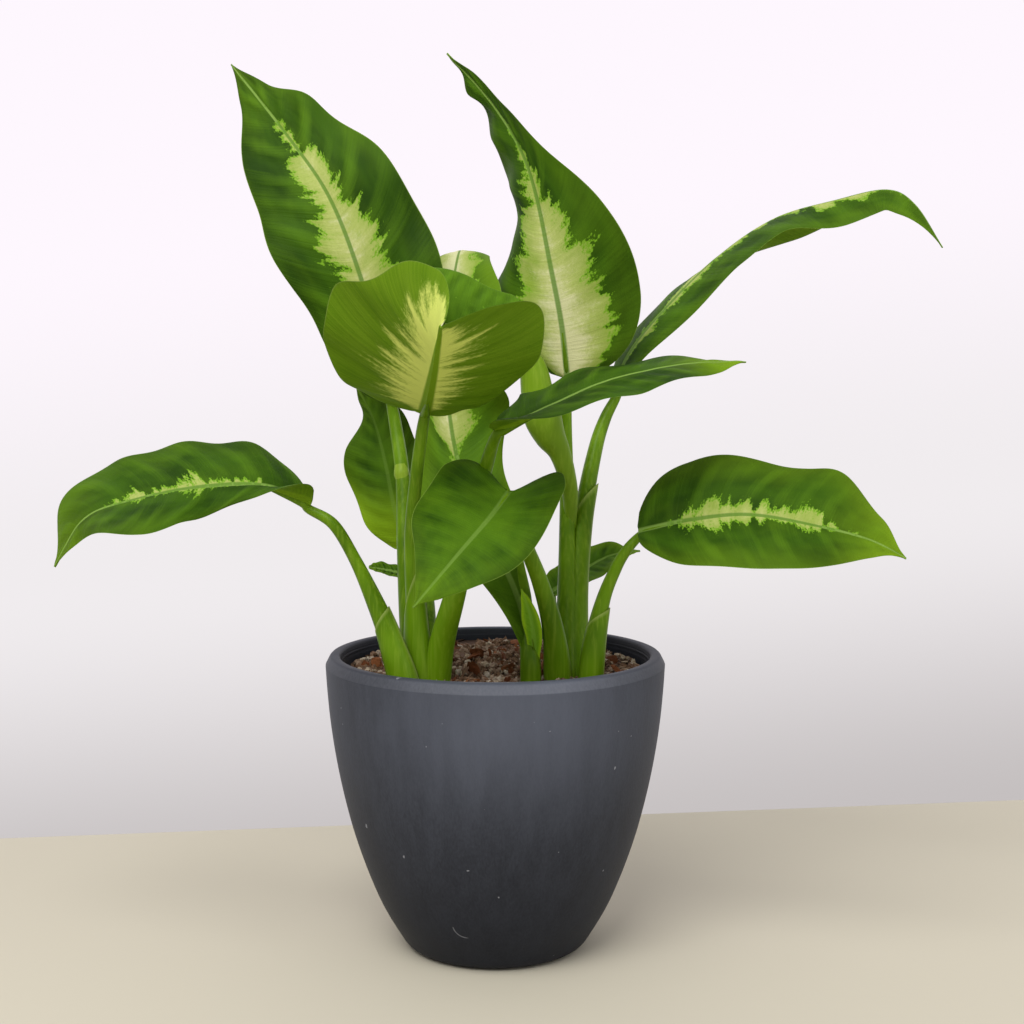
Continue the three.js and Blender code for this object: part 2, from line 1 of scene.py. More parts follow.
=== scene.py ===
# %% [markdown]
# # A potted dieffenbachia
#
# The real object is a small planter with potting mix and a clump of young canes, whose stalks
# carry wide leaves splashed with cream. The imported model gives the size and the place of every
# piece. Here each piece is made again in the same frame, with finer forms and with its colours,
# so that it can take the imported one's place.

import math

import bpy
import numpy as np
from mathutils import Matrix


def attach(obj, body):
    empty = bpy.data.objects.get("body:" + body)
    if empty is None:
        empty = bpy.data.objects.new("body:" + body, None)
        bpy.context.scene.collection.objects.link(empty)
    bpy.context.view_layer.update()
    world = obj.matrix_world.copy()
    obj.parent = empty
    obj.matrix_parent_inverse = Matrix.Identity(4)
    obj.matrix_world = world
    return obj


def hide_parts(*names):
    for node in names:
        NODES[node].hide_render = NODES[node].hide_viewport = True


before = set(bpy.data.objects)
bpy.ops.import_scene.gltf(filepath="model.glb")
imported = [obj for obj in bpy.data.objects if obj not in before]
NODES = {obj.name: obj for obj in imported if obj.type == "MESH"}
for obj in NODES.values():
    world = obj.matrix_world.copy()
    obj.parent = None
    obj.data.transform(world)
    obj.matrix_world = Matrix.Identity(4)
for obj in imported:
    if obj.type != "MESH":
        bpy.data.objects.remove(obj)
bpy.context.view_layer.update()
MM = 0.001
print("packed nodes:", len(NODES))

# %% [markdown]
# ## Shader sums without wires
#
# The colour of a real leaf is many patterns over each other. They could be joined by hand in the
# shader editor, or as a long list of nodes and links, but both hide the idea. This small class
# wraps one socket instead: a sum of patterns is written as a sum, and adds its Math nodes itself.


# %% a socket that can be added and multiplied
def plug(tree, given, socket):
    """Joins a Value to a socket, or sets the socket to a constant."""
    if isinstance(given, Value):
        tree.links.new(given.socket, socket)
    else:
        socket.default_value = given


class Value:
    """One socket of a shader. Without a socket it only makes nodes in its tree."""

    def __init__(self, tree, socket=None):
        self.tree = tree
        self.socket = socket

    def node(self, kind, settings, inputs, output=0):
        """Makes a node: first its settings, then the values or links of its sockets."""
        made = self.tree.nodes.new(kind)
        for name, given in settings.items():
            setattr(made, name, given)
        for key, given in inputs.items():
            plug(self.tree, given, made.inputs[key])
        return Value(self.tree, made.outputs[output])

    def maths(self, operation, *others):
        inputs = dict(enumerate((self, *others)))
        return self.node("ShaderNodeMath", {"operation": operation}, inputs)

    def __add__(self, other):
        return self.maths("ADD", other)

    def __radd__(self, other):
        return self.maths("ADD", other)

    def __sub__(self, other):
        return self.maths("SUBTRACT", other)

    def __rsub__(self, other):
        return (self * -1.0) + other

    def __mul__(self, other):
        return self.maths("MULTIPLY", other)

    def __rmul__(self, other):
        return self.maths("MULTIPLY", other)

    def __truediv__(self, other):
        return self.maths("DIVIDE", other)

    def ramp(self, low, high):
        """0 below low, 1 above high and a smooth change between them."""
        inputs = {"Value": self, "From Min": low, "From Max": high}
        return self.node("ShaderNodeMapRange", {"interpolation_type": "SMOOTHSTEP"}, inputs, "Result")


print("shader sums can be written with + - * /")

# %% [markdown]
# ## Patterns and colours
#
# Blades are mottled, pots are dusty and bark is grained. Pictures could show that, but they have
# edges and a fixed size. Noise at a place in space has neither, so it makes all marks here.
# Colours go through Mix nodes, because a Math node turns a colour grey.

# %% patterns and colours
MIX_SHARE = 0
MIX_FIRST_COLOUR = 6
MIX_SECOND_COLOUR = 7
MIX_COLOUR_OUT = 2


def mix(tree, share, first, second):
    """A colour between two colours."""
    inputs = {MIX_SHARE: share, MIX_FIRST_COLOUR: first, MIX_SECOND_COLOUR: second}
    return Value(tree).node("ShaderNodeMix", {"data_type": "RGBA"}, inputs, MIX_COLOUR_OUT)


def noise(tree, place, scale, detail=3.0, roughness=0.55):
    """A noise value round 0.5 at a place."""
    inputs = {"Vector": place, "Scale": scale, "Detail": detail, "Roughness": roughness}
    return Value(tree).node("ShaderNodeTexNoise", {}, inputs)


def vector(tree, x, y, z):
    return Value(tree).node("ShaderNodeCombineXYZ", {}, {"X": x, "Y": y, "Z": z})


def parts_of(tree, place):
    """The x, y and z of a vector."""
    first = Value(tree).node("ShaderNodeSeparateXYZ", {}, {"Vector": place})
    return [Value(tree, output) for output in first.socket.node.outputs]


def attribute(tree, name, output="Vector"):
    return Value(tree).node("ShaderNodeAttribute", {"attribute_name": name}, {}, output)


def object_place(tree):
    return Value(tree).node("ShaderNodeTexCoord", {}, {}, "Object")


def srgb(red, green, blue):
    """A colour as it is read off a picture, 0 to 255, in the shader's linear scale."""
    shares = [c / 255 for c in (red, green, blue)]
    linear = [((c + 0.055) / 1.055) ** 2.4 if c > 0.04 else c / 12.92 for c in shares]
    return (*linear, 1.0)


def new_material(name, roughness, shine):
    """An empty material, its node tree and its Principled node. shine: the strength of glints."""
    made = bpy.data.materials.new(name)
    made.use_nodes = True
    shader = made.node_tree.nodes["Principled BSDF"]
    shader.inputs["Roughness"].default_value = roughness
    shader.inputs["Specular IOR Level"].default_value = shine
    return made, made.node_tree, shader


def bump(tree, shader, height, distance, strength):
    inputs = {"Height": height, "Distance": distance, "Strength": strength}
    made = Value(tree).node("ShaderNodeBump", {}, inputs)
    plug(tree, made, shader.inputs["Normal"])


print("a middle grey of 128 is", round(srgb(128, 128, 128)[0], 3), "in the shader's scale")

# %% [markdown]
# ## The finish of the leaves
#
# A real blade is dark green with a cream splash along its midrib, whose edge runs out in fingers
# along the side veins. It could be painted on each leaf. Here each leaf carries coordinates: the
# place from stalk to tip, the place from margin to margin and the face. Splash, veins and rib are
# drawn in those, so one formula serves all leaves and follows every wave of a blade.

# %% colours of the leaves
DEEP_GREEN = srgb(34, 62, 5)
DARK_GREEN = srgb(56, 90, 10)
# a lighter green for the blade's own lighter veins and patches and for painted light
LIGHTER_AND_LIT_GREEN = srgb(88, 128, 22)
YOUNG_GREEN = srgb(118, 152, 22)
SPLASH_GREEN = srgb(112, 158, 34)
CREAM = srgb(174, 184, 106)
CREAM_PALE = srgb(214, 213, 166)
CREAM_SHADE = srgb(130, 156, 54)
RIB_GREEN = srgb(88, 128, 42)
RIB_PALE = srgb(128, 160, 74)
MARGIN_PALE = srgb(128, 150, 70)
UNDER_GREEN = srgb(84, 120, 12)
UNDER_LIT = srgb(116, 148, 32)
UNDER_CREAM = srgb(206, 218, 108)
UNDER_RIB = srgb(112, 146, 24)
LEAF_SHINE = 0.06
print("the leaves' dark green is", [round(c, 3) for c in DARK_GREEN[:3]])

# %% [markdown]
# ### Green and cream
#
# The green is deep in patches and lighter in young growth, and painted light makes it lighter over
# the whole blade, along its middle and on the swellings between the side veins. The cream is palest
# by the midrib and greener toward the splash's edge. Both could be one ramp each, but a ramp looks
# printed, so several weak noises are mixed over one another.

# %% green and cream of a blade
SPLASH_RIM = (-0.09, -0.005)
SPLASH_EDGE = (-0.005, 0.045)


def leaf_noise(tree, s, across, seed, detail=2.0, roughness=0.55):
    """Noise round 0 in a leaf's own coordinates. A seed makes each leaf different."""
    return noise(tree, vector(tree, s, across, seed), 1.0, detail, roughness) - 0.5


def green_of(tree, s, a, out, tone_and_painted_light, patches, look, seed):
    """The blade's green with painted light. look gives how much painted light falls on the whole blade
    and on its middle, and how young its margin, tip and foot are.
    """
    field = noise(tree, vector(tree, s * 4.0, a * 1.5, seed + 17.0), 1.0, 3.0)
    green = mix(tree, field.ramp(0.32, 0.66), DEEP_GREEN, DARK_GREEN)
    # painted light along the middle of the blade
    tone_and_painted_light = tone_and_painted_light + (0.5 - out) * look.get("middle", 0.0)
    green = mix(tree, tone_and_painted_light.maths("MAXIMUM", 0.0), green, LIGHTER_AND_LIT_GREEN)
    young = out.ramp(0.45, 1.05) * look.get("edge", 0.0)
    young = young + s.ramp(0.62, 1.0) * look.get("tip", 0.0) + patches * 0.3
    young = young + (1.0 - s.ramp(0.05, 0.42)) * look.get("foot", 0.0)
    return mix(tree, young.maths("MAXIMUM", 0.0), green, YOUNG_GREEN)


def cream_of(tree, out, beyond, patches, teeth, grain):
    """The splash's cream. beyond is below 0 inside the splash and above 0 outside it."""
    cream = mix(tree, (patches + teeth * 0.35 + 0.58).ramp(0.3, 0.62), CREAM_SHADE, CREAM)
    cream = mix(tree, out.ramp(0.1, 0.7) * 0.5 + grain * 0.3, cream, CREAM_SHADE)
    cream = mix(tree, beyond.ramp(-0.3, -0.03) * 0.45, cream, CREAM_SHADE)
    cream = mix(tree, (1.0 - beyond.ramp(-0.62, -0.22)) * 0.85, cream, CREAM_PALE)
    return mix(tree, beyond.ramp(*SPLASH_RIM), cream, SPLASH_GREEN)


print("green and cream can be mixed")

# %% [markdown]
# ### One leaf's material
#
# Seen from above a blade shows splash, green and a pale rib; from below it is flatter and lighter.
# Two materials could do that, but the margin between them would be hard. One material mixes both
# by the face coordinate, and a fine bump gives the side veins. How often a mark comes along a leaf
# is a named number.

# %% leaf material
FINGERS = 17.0
TEETH = 58.0
FLECKS = 150.0
PATCHES = 7.0
FINE_VEINS = 150.0
GRAIN = 260.0
RIB_ABOVE = (0.55, 1.1)
RIB_BELOW = (1.3, 2.2)
MARGIN_LINE = (0.988, 1.0)
FACE_BLEND = (-0.4, 0.4)
LEAF_BUMP = (0.0006, 0.45)


def leaf_material(name, look, rib_share, seed, glow):
    """Green blade with a cream splash. glow: the strength of a painted glow, light given off by the blade
    itself in place of light shining through it.
    """
    made, tree, shader = new_material(name, 0.55, LEAF_SHINE)
    s, a, face = parts_of(tree, attribute(tree, "leaf_place"))
    splash, across, quilt = parts_of(tree, attribute(tree, "leaf_size"))
    out = a.maths("ABSOLUTE")
    fingers = leaf_noise(tree, s * FINGERS, out * 0.9, seed, roughness=0.6)
    teeth = leaf_noise(tree, s * TEETH, out * 3.4, seed + 5.0, 3.0, 0.65)
    flecks = leaf_noise(tree, s * FLECKS, out * 26.0, seed + 7.0, roughness=0.6)
    patches = leaf_noise(tree, s * PATCHES, a * 2.0, seed + 3.0)
    fine_veins = leaf_noise(tree, s * FINE_VEINS, out * 0.8, seed + 11.0)
    grain = leaf_noise(tree, s * GRAIN, out * 90.0, seed + 13.0)
    beyond = out - splash + fingers * 0.95 + teeth * 0.5 + flecks * 0.32 + patches * 0.25
    # the blade's own lighter veins, grain and patches, painted highlight and shade on the swellings
    # between side veins, and the look's painted light
    tone_and_painted_light = fine_veins * 0.45 + grain * 0.35 + patches * 0.5 + quilt * 0.2 + look.get("bright", 0.0)
    green = green_of(tree, s, a, out, tone_and_painted_light, patches, look, seed)
    cream = cream_of(tree, out, beyond, patches, teeth, grain)
    upper = mix(tree, beyond.ramp(*SPLASH_EDGE), cream, green)
    under_green = mix(tree, fine_veins * 1.1 + patches * 0.8 + 0.3, UNDER_GREEN, UNDER_LIT)
    under = mix(tree, (beyond + fingers * 0.2).ramp(-0.24, 0.1), UNDER_CREAM, under_green)
    rib = across.maths("ABSOLUTE") / (1.8 - s * 1.3)
    rib_colour = mix(tree, beyond.ramp(-0.05, 0.05), RIB_GREEN, RIB_PALE)
    upper = mix(tree, (1.0 - rib.ramp(*RIB_ABOVE)) * (0.85 * rib_share), upper, rib_colour)
    under = mix(tree, (1.0 - rib.ramp(*RIB_BELOW)) * rib_share, under, UNDER_RIB)
    is_upper = face.ramp(*FACE_BLEND)
    colour = mix(tree, is_upper, under, upper)
    colour = mix(tree, out.ramp(*MARGIN_LINE) * 0.6, colour, MARGIN_PALE)
    plug(tree, colour, shader.inputs["Base Color"])
    plug(tree, colour, shader.inputs["Emission Color"])
    shader.inputs["Emission Strength"].default_value = glow
    plug(tree, 0.62 - is_upper * 0.08 + fine_veins * 0.1, shader.inputs["Roughness"])
    bump(tree, shader, fine_veins + grain * 0.4, *LEAF_BUMP)
    return made


print("a leaf's material can be made")

# %% [markdown]
# ## The finish of the stalks
#
# A stalk is fleshy and smooth, with fine streaks along it, and a sheath's thin edge is paler.
# The streaks could be a bump alone, but they show as colour too. One noise, stretched along z
# because the stalks stand upright, gives both. `pale` makes the scar and the rolled sheath
# lighter.

# %% stalk material
STALK_GREEN = srgb(100, 138, 14)
STALK_DEEP = srgb(74, 108, 4)
STALK_PALE = srgb(142, 168, 52)
SHEATH_EDGE = srgb(168, 182, 104)
STALK_SHINE = 0.12
STREAKS_ACROSS = 700.0
STREAKS_ALONG = 18.0
CLOUDS_ACROSS = 60.0
CLOUDS_ALONG = 22.0
STALK_BUMP = (0.0002, 0.35)


def stalk_material(name, pale):
    """Fleshy green with fine lengthwise streaks; pale is the share of light colour."""
    made, tree, shader = new_material(name, 0.38, STALK_SHINE)
    x, y, z = parts_of(tree, object_place(tree))
    place = vector(tree, x * STREAKS_ACROSS, y * STREAKS_ACROSS, z * STREAKS_ALONG)
    streaks = noise(tree, place, 1.0, 3.0)
    place = vector(tree, x * CLOUDS_ACROSS, y * CLOUDS_ACROSS, z * CLOUDS_ALONG)
    clouds = noise(tree, place, 1.0, 2.0)
    colour = mix(tree, clouds.ramp(0.3, 0.66), STALK_DEEP, STALK_GREEN)
    colour = mix(tree, streaks.ramp(0.42, 0.75) * 0.3 + pale, colour, STALK_PALE)
    colour = mix(tree, attribute(tree, "pale_edge", "Fac"), colour, SHEATH_EDGE)
    plug(tree, colour, shader.inputs["Base Color"])
    bump(tree, shader, streaks, *STALK_BUMP)
    return made


STALK = stalk_material("stalk", 0.0)
SCAR = stalk_material("scar", 0.6)
SHEATH = stalk_material("pale_sheath", 0.22)
print("stalk finishes:", STALK.name, SCAR.name, SHEATH.name)

# %% [markdown]
# ## The finish of the planter
#
# The planter is dull blue-grey plastic with faint upright mottling and one curved scratch near its
# foot, with painted light and shade: a painted highlight on its upper front and a grainy one along
# the bevel of its rim, and painted shade toward its foot, at the sides of its rim and on its inner
# wall. The scratch could be cut as a groove, but it is thinner than any face of the wall. It is
# worked out instead as a quarter of a ring round a point, in metres of the object's own place, and
# so are the heights of the painted highlights.

# %% pot material
POT_DARK = srgb(44, 46, 53)
POT_LIGHT = srgb(62, 65, 74)
# the colour of the painted shade toward the foot, at the sides of the rim and on the inner wall
POT_PAINTED_SHADE = srgb(22, 24, 31)
# the colour of the painted highlight on the upper front of the wall
POT_PAINTED_HIGHLIGHT = srgb(100, 105, 119)
# the colour of real light specks and the scratch, and of the painted highlight along the rim's bevel
POT_DUST_AND_SHEEN = srgb(150, 152, 160)
POT_SHINE = 0.1
POT_BUMP = (0.0003, 0.45)
MOTTLING_ACROSS = 110.0
MOTTLING_UP = 26.0
GRAIN_ACROSS = 1100.0
GRAIN_UP = 420.0
SPECKS = 260.0
FOOT_SHADE_TOP = 0.085
PAINTED_HIGHLIGHT_HEIGHTS = (0.06, 0.13)
PAINTED_LIGHT_CENTRE_X = 0.01
SIDE_SHADE = (0.01, 0.078)
INNER_WALL_RADII = (0.0752, 0.0765)
INNER_WALL_HEIGHTS = (0.11, 0.112)
RIM_HEIGHTS = (0.1385, 0.1395)
BEVEL_LOW = 0.1389
BEVEL_HIGH = 0.1428
SCRATCH_CENTRE = (-0.0125, 0.0265)
SCRATCH_RADIUS = 0.0068
SCRATCH_WIDTHS = (0.0001, 0.0004)


def scratch_on(x, y, z):
    """1 on the curved scratch at the pot's front, 0 beside it."""
    centre_x, centre_z = SCRATCH_CENTRE
    dx = x - centre_x
    dz = z - centre_z
    far = (dx * dx + dz * dz).maths("SQRT")
    ring = 1.0 - (far - SCRATCH_RADIUS).maths("ABSOLUTE").ramp(*SCRATCH_WIDTHS)
    below = (centre_z - 0.001 - z).ramp(0.0, 0.001)
    left = (centre_x + 0.001 - x).ramp(0.0, 0.002)
    front = (0.0 - y).ramp(0.0, 0.01)
    return ring * (below * left) * front


def pot_material():
    """Dull blue-grey with faint upright mottling, light specks and one curved scratch, with painted
    highlights and painted shade.
    """
    made, tree, shader = new_material("pot", 0.5, POT_SHINE)
    x, y, z = parts_of(tree, object_place(tree))
    place = vector(tree, x * MOTTLING_ACROSS, y * MOTTLING_ACROSS, z * MOTTLING_UP)
    upright = noise(tree, place, 1.0, 6.0, 0.62)
    place = vector(tree, x * GRAIN_ACROSS, y * GRAIN_ACROSS, z * GRAIN_UP)
    grain = noise(tree, place, 1.0, 3.0, 0.6)
    specks = noise(tree, vector(tree, x * SPECKS, y * SPECKS, z * SPECKS), 1.0, 1.0, 0.5)
    # painted shade: grows toward either side of the pot, away from the middle of the painted light
    painted_side_shade = (x - PAINTED_LIGHT_CENTRE_X).maths("ABSOLUTE").ramp(*SIDE_SHADE)
    radius = (x * x + y * y).maths("SQRT")
    # painted shade on the inner wall below the rim
    inside = (1.0 - radius.ramp(*INNER_WALL_RADII)) * z.ramp(*INNER_WALL_HEIGHTS)
    bevel = z.ramp(BEVEL_LOW, BEVEL_LOW + 0.0004) * (1.0 - z.ramp(BEVEL_HIGH, BEVEL_HIGH + 0.001))
    scratch = scratch_on(x, y, z)
    # painted highlight: the upper front of the wall is lighter, fading toward the sides
    painted_highlight = z.ramp(*PAINTED_HIGHLIGHT_HEIGHTS) * (0.5 + upright * 0.2 - painted_side_shade * 0.4)
    colour = mix(tree, (upright * 0.6 + grain * 0.4).ramp(0.22, 0.78), POT_DARK, POT_LIGHT)
    # painted shade: the wall is darker toward its foot
    colour = mix(tree, 0.6 - z.ramp(0.0, FOOT_SHADE_TOP) * 0.6, colour, POT_PAINTED_SHADE)
    colour = mix(tree, painted_highlight, colour, POT_PAINTED_HIGHLIGHT)
    colour = mix(tree, specks.ramp(0.79, 0.81) * 0.8, colour, POT_DUST_AND_SHEEN)
    # painted highlight along the bevel of the rim, broken by grain
    colour = mix(tree, bevel * (0.06 + grain * 0.22), colour, POT_DUST_AND_SHEEN)
    # painted shade at the left and right of the rim
    colour = mix(tree, z.ramp(*RIM_HEIGHTS) * painted_side_shade * 0.45, colour, POT_PAINTED_SHADE)
    # painted shade on the inner wall
    colour = mix(tree, inside * 0.8, colour, POT_PAINTED_SHADE)
    colour = mix(tree, scratch * 0.45, colour, POT_DUST_AND_SHEEN)
    plug(tree, colour, shader.inputs["Base Color"])
    plug(tree, 0.4 + upright * 0.22, shader.inputs["Roughness"])
    bump(tree, shader, upright * 0.5 + grain * 0.5 - scratch * 0.8, *POT_BUMP)
    return made


POT = pot_material()
print("the pot's finish has", len(POT.node_tree.nodes), "nodes")

# %% [markdown]
# ## The finish of the potting mix
#
# The mix is peat, bark and perlite. No two crumbs have the same colour. One material for each
# crumb would be far too many, and one noise would run across the crumbs. So each point carries a
# random tone, the same for a whole crumb, which picks a colour between three.

# %% crumbly materials
CRUMB_SHINE = 0.2
CRUMB_BUMP = (0.0006, 0.9)
CRUMB_COLOURS = {
    "soil": (700.0, (56, 38, 28), (172, 138, 110), (214, 182, 152)),
    "bark": (420.0, (98, 72, 54), (184, 154, 128), (230, 208, 186)),
    "bark_flakes": (380.0, (92, 50, 26), (170, 108, 66), (206, 150, 104)),
    "perlite": (500.0, (150, 132, 112), (216, 206, 192), (250, 246, 240)),
}


def crumbly_material(name, scale, dark, middle, light):
    """A rough material whose colour goes through three colours from piece to piece."""
    made, tree, shader = new_material(name, 0.85, CRUMB_SHINE)
    tone = attribute(tree, "tone", "Fac")
    grain = noise(tree, object_place(tree), scale, 4.0, 0.65)
    colour = mix(tree, tone.ramp(0.0, 0.7), dark, middle)
    colour = mix(tree, tone.ramp(0.7, 1.0), colour, light)
    colour = mix(tree, (grain - 0.25) * 0.9, dark, colour)
    plug(tree, colour, shader.inputs["Base Color"])
    bump(tree, shader, grain, *CRUMB_BUMP)
    return made


CRUMBLY = {}
for name, (scale, *colours) in CRUMB_COLOURS.items():
    CRUMBLY[name] = crumbly_material(name, scale, *(srgb(*colour) for colour in colours))
print("materials:", len(bpy.data.materials))

# %% [markdown]
# ## Curves
#
# Stalks, ribs and margins are all drawn curves. Blender has its own curve objects, but here the
# curve is needed as numbers: a place, a direction and a length at any share of the way. So a few
# points are smoothed by a formula that passes through each of them.


# %% curve helpers
def along(values, s):
    """Evenly spaced values, smoothed like a drawn curve, at s from 0 to 1."""
    values = np.asarray(values, float)
    flat = values.ndim == 1
    if flat:
        values = values[:, None]
    ends = np.vstack([2 * values[0] - values[1], values, 2 * values[-1] - values[-2]])
    t = np.clip(np.asarray(s, float), 0, 1) * (len(values) - 1)
    i = np.minimum(t.astype(int), len(values) - 2)
    u = (t - i)[..., None]
    a, b, c, d = (ends[i + k] for k in range(4))
    made = b + 0.5 * u * (c - a + u * (2 * a - 5 * b + 4 * c - d + u * (3 * (b - c) + d - a)))
    return made[..., 0] if flat else made


def smoothstep(x):
    x = np.clip(x, 0, 1)
    return x * x * (3 - 2 * x)


def unit(v):
    return v / np.maximum(np.linalg.norm(v, axis=-1, keepdims=True), 1e-12)


class Midrib:
    """A curve measured along its length, straight beyond its ends."""

    FINE = 600

    def __init__(self, points):
        self.track = along(points, np.linspace(0, 1, self.FINE))
        steps = np.linalg.norm(np.diff(self.track, axis=0), axis=1)
        self.distance = np.concatenate([[0], np.cumsum(steps)])
        self.length = self.distance[-1]

    def on(self, y):
        y = np.clip(y, 0, self.length)
        return np.stack([np.interp(y, self.distance, self.track[:, k]) for k in range(3)], -1)

    def tangent(self, y):
        step = 0.01 * self.length
        y = np.clip(y, 0, self.length)
        return unit(self.on(y + step) - self.on(y - step))

    def point(self, y):
        return self.on(y) + self.tangent(y) * (y - np.clip(y, 0, self.length))[..., None]


print("halfway along a curve through 0, 1 and 3 is", along([0, 1, 3], 0.5))

# %% [markdown]
# ## Sheets moved by a formula
#
# A pot wall, a stalk and a blade are each one skin without corners. They could be modelled by
# hand or with modifiers. Here Blender's grid is added and a formula moves its points into place,
# because the same few lines then serve every piece and give each point its own coordinates.


# %% formula sheet
def pick_only(piece):
    bpy.ops.object.select_all(action="DESELECT")
    piece.select_set(True)
    bpy.context.view_layer.objects.active = piece


def tidy_mesh(piece, merge, angle):
    """Merges the points that meet, closes open ends, turns the faces out and shades them smooth."""
    pick_only(piece)
    bpy.ops.object.mode_set(mode="EDIT")
    bpy.ops.mesh.select_all(action="SELECT")
    bpy.ops.mesh.remove_doubles(threshold=merge)
    bpy.ops.mesh.fill_holes(sides=0)
    bpy.ops.mesh.select_all(action="SELECT")
    bpy.ops.mesh.normals_make_consistent(inside=False)
    bpy.ops.object.mode_set(mode="OBJECT")
    bpy.ops.object.shade_smooth_by_angle(angle=math.radians(angle))


def sheet(name, columns, rows, formula, merge=1e-6, angle=55):
    """A grid moved by a formula from (u, v), both 0 to 1, to points in mm and named attributes."""
    bpy.ops.mesh.primitive_grid_add(x_subdivisions=columns, y_subdivisions=rows, size=1)
    piece = bpy.context.active_object
    piece.name = name
    piece.data.name = name
    flat = np.empty(len(piece.data.vertices) * 3)
    piece.data.vertices.foreach_get("co", flat)
    flat = flat.reshape(-1, 3) + 0.5
    points, attributes = formula(flat[:, 0], flat[:, 1])
    piece.data.vertices.foreach_set("co", (points * MM).ravel())
    for key, values in attributes.items():
        kind = "FLOAT_VECTOR" if values.ndim == 2 else "FLOAT"
        layer = piece.data.attributes.new(key, kind, "POINT")
        layer.data.foreach_set("vector" if values.ndim == 2 else "value", values.ravel())
    tidy_mesh(piece, merge, angle)
    return piece


def finish_piece(piece, material, replaced):
    """Gives a piece its material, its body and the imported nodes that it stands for."""
    piece.data.materials.clear()
    piece.data.materials.append(material)
    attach(piece, "root")
    if replaced:
        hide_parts(*replaced)


print("sheet helpers are ready")

# %% [markdown]
# ## The planter
#
# The planter is one moulding with a thick rounded rim, and its inner wall has faint ribs left by
# the mould. It could be built of cylinders and bevels. It is turned instead, like a pot on a
# wheel: one closed outline goes round the axis, and the ribs are a sine of the height.

# %% planter
OUTER_WALL = [
    (0, 0), (36, 0), (41.5, 0.4), (44.6, 2.2), (46.6, 5), (55.6, 20), (62.3, 36), (68.6, 54),
    (73.4, 72), (77.4, 91), (80.4, 111), (81.9, 128), (82.5, 138.6),
]
RIM = [
    (82.5, 139.2), (82.2, 139.9), (80.6, 143.0), (79.9, 143.7), (79.0, 144), (76.9, 144),
    (76.0, 143.7), (75.4, 143.0), (75.2, 142.2),
]
INNER_WALL = [
    (75.0, 141.4), (74.4, 138), (73.8, 124), (70.0, 91), (66.2, 72), (55.4, 36), (48.6, 20),
    (42, 9), (38, 6), (0, 6),
]
ROUND_THE_POT = 144
OUTER_SHARE = 0.6
RIB_HEIGHTS = (110, 141)
RIB_STEP = 2.1
RIB_DEPTH = 0.12


def rounded(points):
    """Each edge cut at a quarter and three quarters, twice: a drawn curve through the corners."""
    for _ in range(2):
        made = [points[0]]
        for (r0, z0), (r1, z1) in zip(points, points[1:]):
            for t in (0.25, 0.75):
                made.append((r0 + (r1 - r0) * t, z0 + (z1 - z0) * t))
        points = made + [points[-1]]
    return points


POT_OUTLINE = np.array(rounded(OUTER_WALL) + RIM + rounded(INNER_WALL))


def pot_formula(u, v):
    t = v * (len(POT_OUTLINE) - 1)
    i = np.minimum(t.astype(int), len(POT_OUTLINE) - 2)
    share = (t - i)[:, None]
    r, z = (POT_OUTLINE[i] * (1 - share) + POT_OUTLINE[i + 1] * share).T
    ribbed = (v > OUTER_SHARE) & (z > RIB_HEIGHTS[0]) & (z < RIB_HEIGHTS[1])
    r = r + np.where(ribbed, RIB_DEPTH * np.sin(2 * np.pi * z / RIB_STEP), 0)
    angle = 2 * np.pi * u
    return np.stack([r * np.cos(angle), r * np.sin(angle), z], -1), {}


pot = sheet("planter", ROUND_THE_POT, 2 * (len(POT_OUTLINE) - 1), pot_formula, merge=1e-5)
finish_piece(pot, POT, ["pot"])
print("planter:", len(pot.data.polygons), "faces")

# %% [markdown]
# ## Potting mix
#
# The mix fills the planter to a little below its rim, higher at the back and in the middle, and
# its top is lumpy. It could be sculpted, but chance does it better: sines that run in random
# directions are added up, and their sum has no visible order. The skin is then given depth.

# %% soil
SOIL_FRONT = 131.5
SOIL_BACK = 137
SOIL_RADIUS = 73.4
WALL_RADIUS = 75.2
SOIL_MOUND = 1.6
SOIL_ROUGHNESS = 1.1
SMALL_LUMPS = 0.2
WIDE_LUMPS = 0.09
LUMPS_SHIFT = 1.3
SLANTED_SHARE = 0.6
CRUMBS_ABOVE = 0.8
SKIN_DEPTH = 6
SKIN_ROUND = 220
SKIN_RINGS = 90
DARKER_THAN = 0.6
SINES = 14
SINE_WAVES = (0.5, 2.4)
SINE_START = 6.3
SINE_HEIGHT = 0.28
chance = np.random.default_rng(7)


def soil_level(x, y):
    """The height of the mix: a slope to the back, a mound and wide lumps."""
    slope = (y / WALL_RADIUS + 1) / 2
    mound = SOIL_MOUND * np.cos(np.pi / 2 * np.minimum(np.hypot(x, y) / WALL_RADIUS, 1))
    crossed = np.sin(x * SMALL_LUMPS + LUMPS_SHIFT) * np.cos(y * SMALL_LUMPS)
    slanted = SLANTED_SHARE * np.sin(x * WIDE_LUMPS - y * SMALL_LUMPS)
    level = SOIL_FRONT + (SOIL_BACK - SOIL_FRONT) * slope
    return level + mound + SOIL_ROUGHNESS * (crossed + slanted)


def rough(x, y):
    """Small lumps: sines in many directions, whose sum has no visible order."""
    total = np.zeros_like(x)
    for _ in range(SINES):
        turn = chance.uniform(0, 2 * np.pi)
        wave = chance.uniform(*SINE_WAVES)
        start = chance.uniform(0, SINE_START)
        total += np.sin(wave * (x * math.cos(turn) + y * math.sin(turn)) + start) / wave
    return total * SINE_HEIGHT


def soil_formula(u, v):
    angle = 2 * np.pi * u
    radius = SOIL_RADIUS * np.sqrt(v)
    x, y = radius * np.cos(angle), radius * np.sin(angle)
    tone = chance.uniform(0, DARKER_THAN, len(x))
    height = soil_level(x, y) - CRUMBS_ABOVE + rough(x, y)
    return np.stack([x, y, height], -1), {"tone": tone}


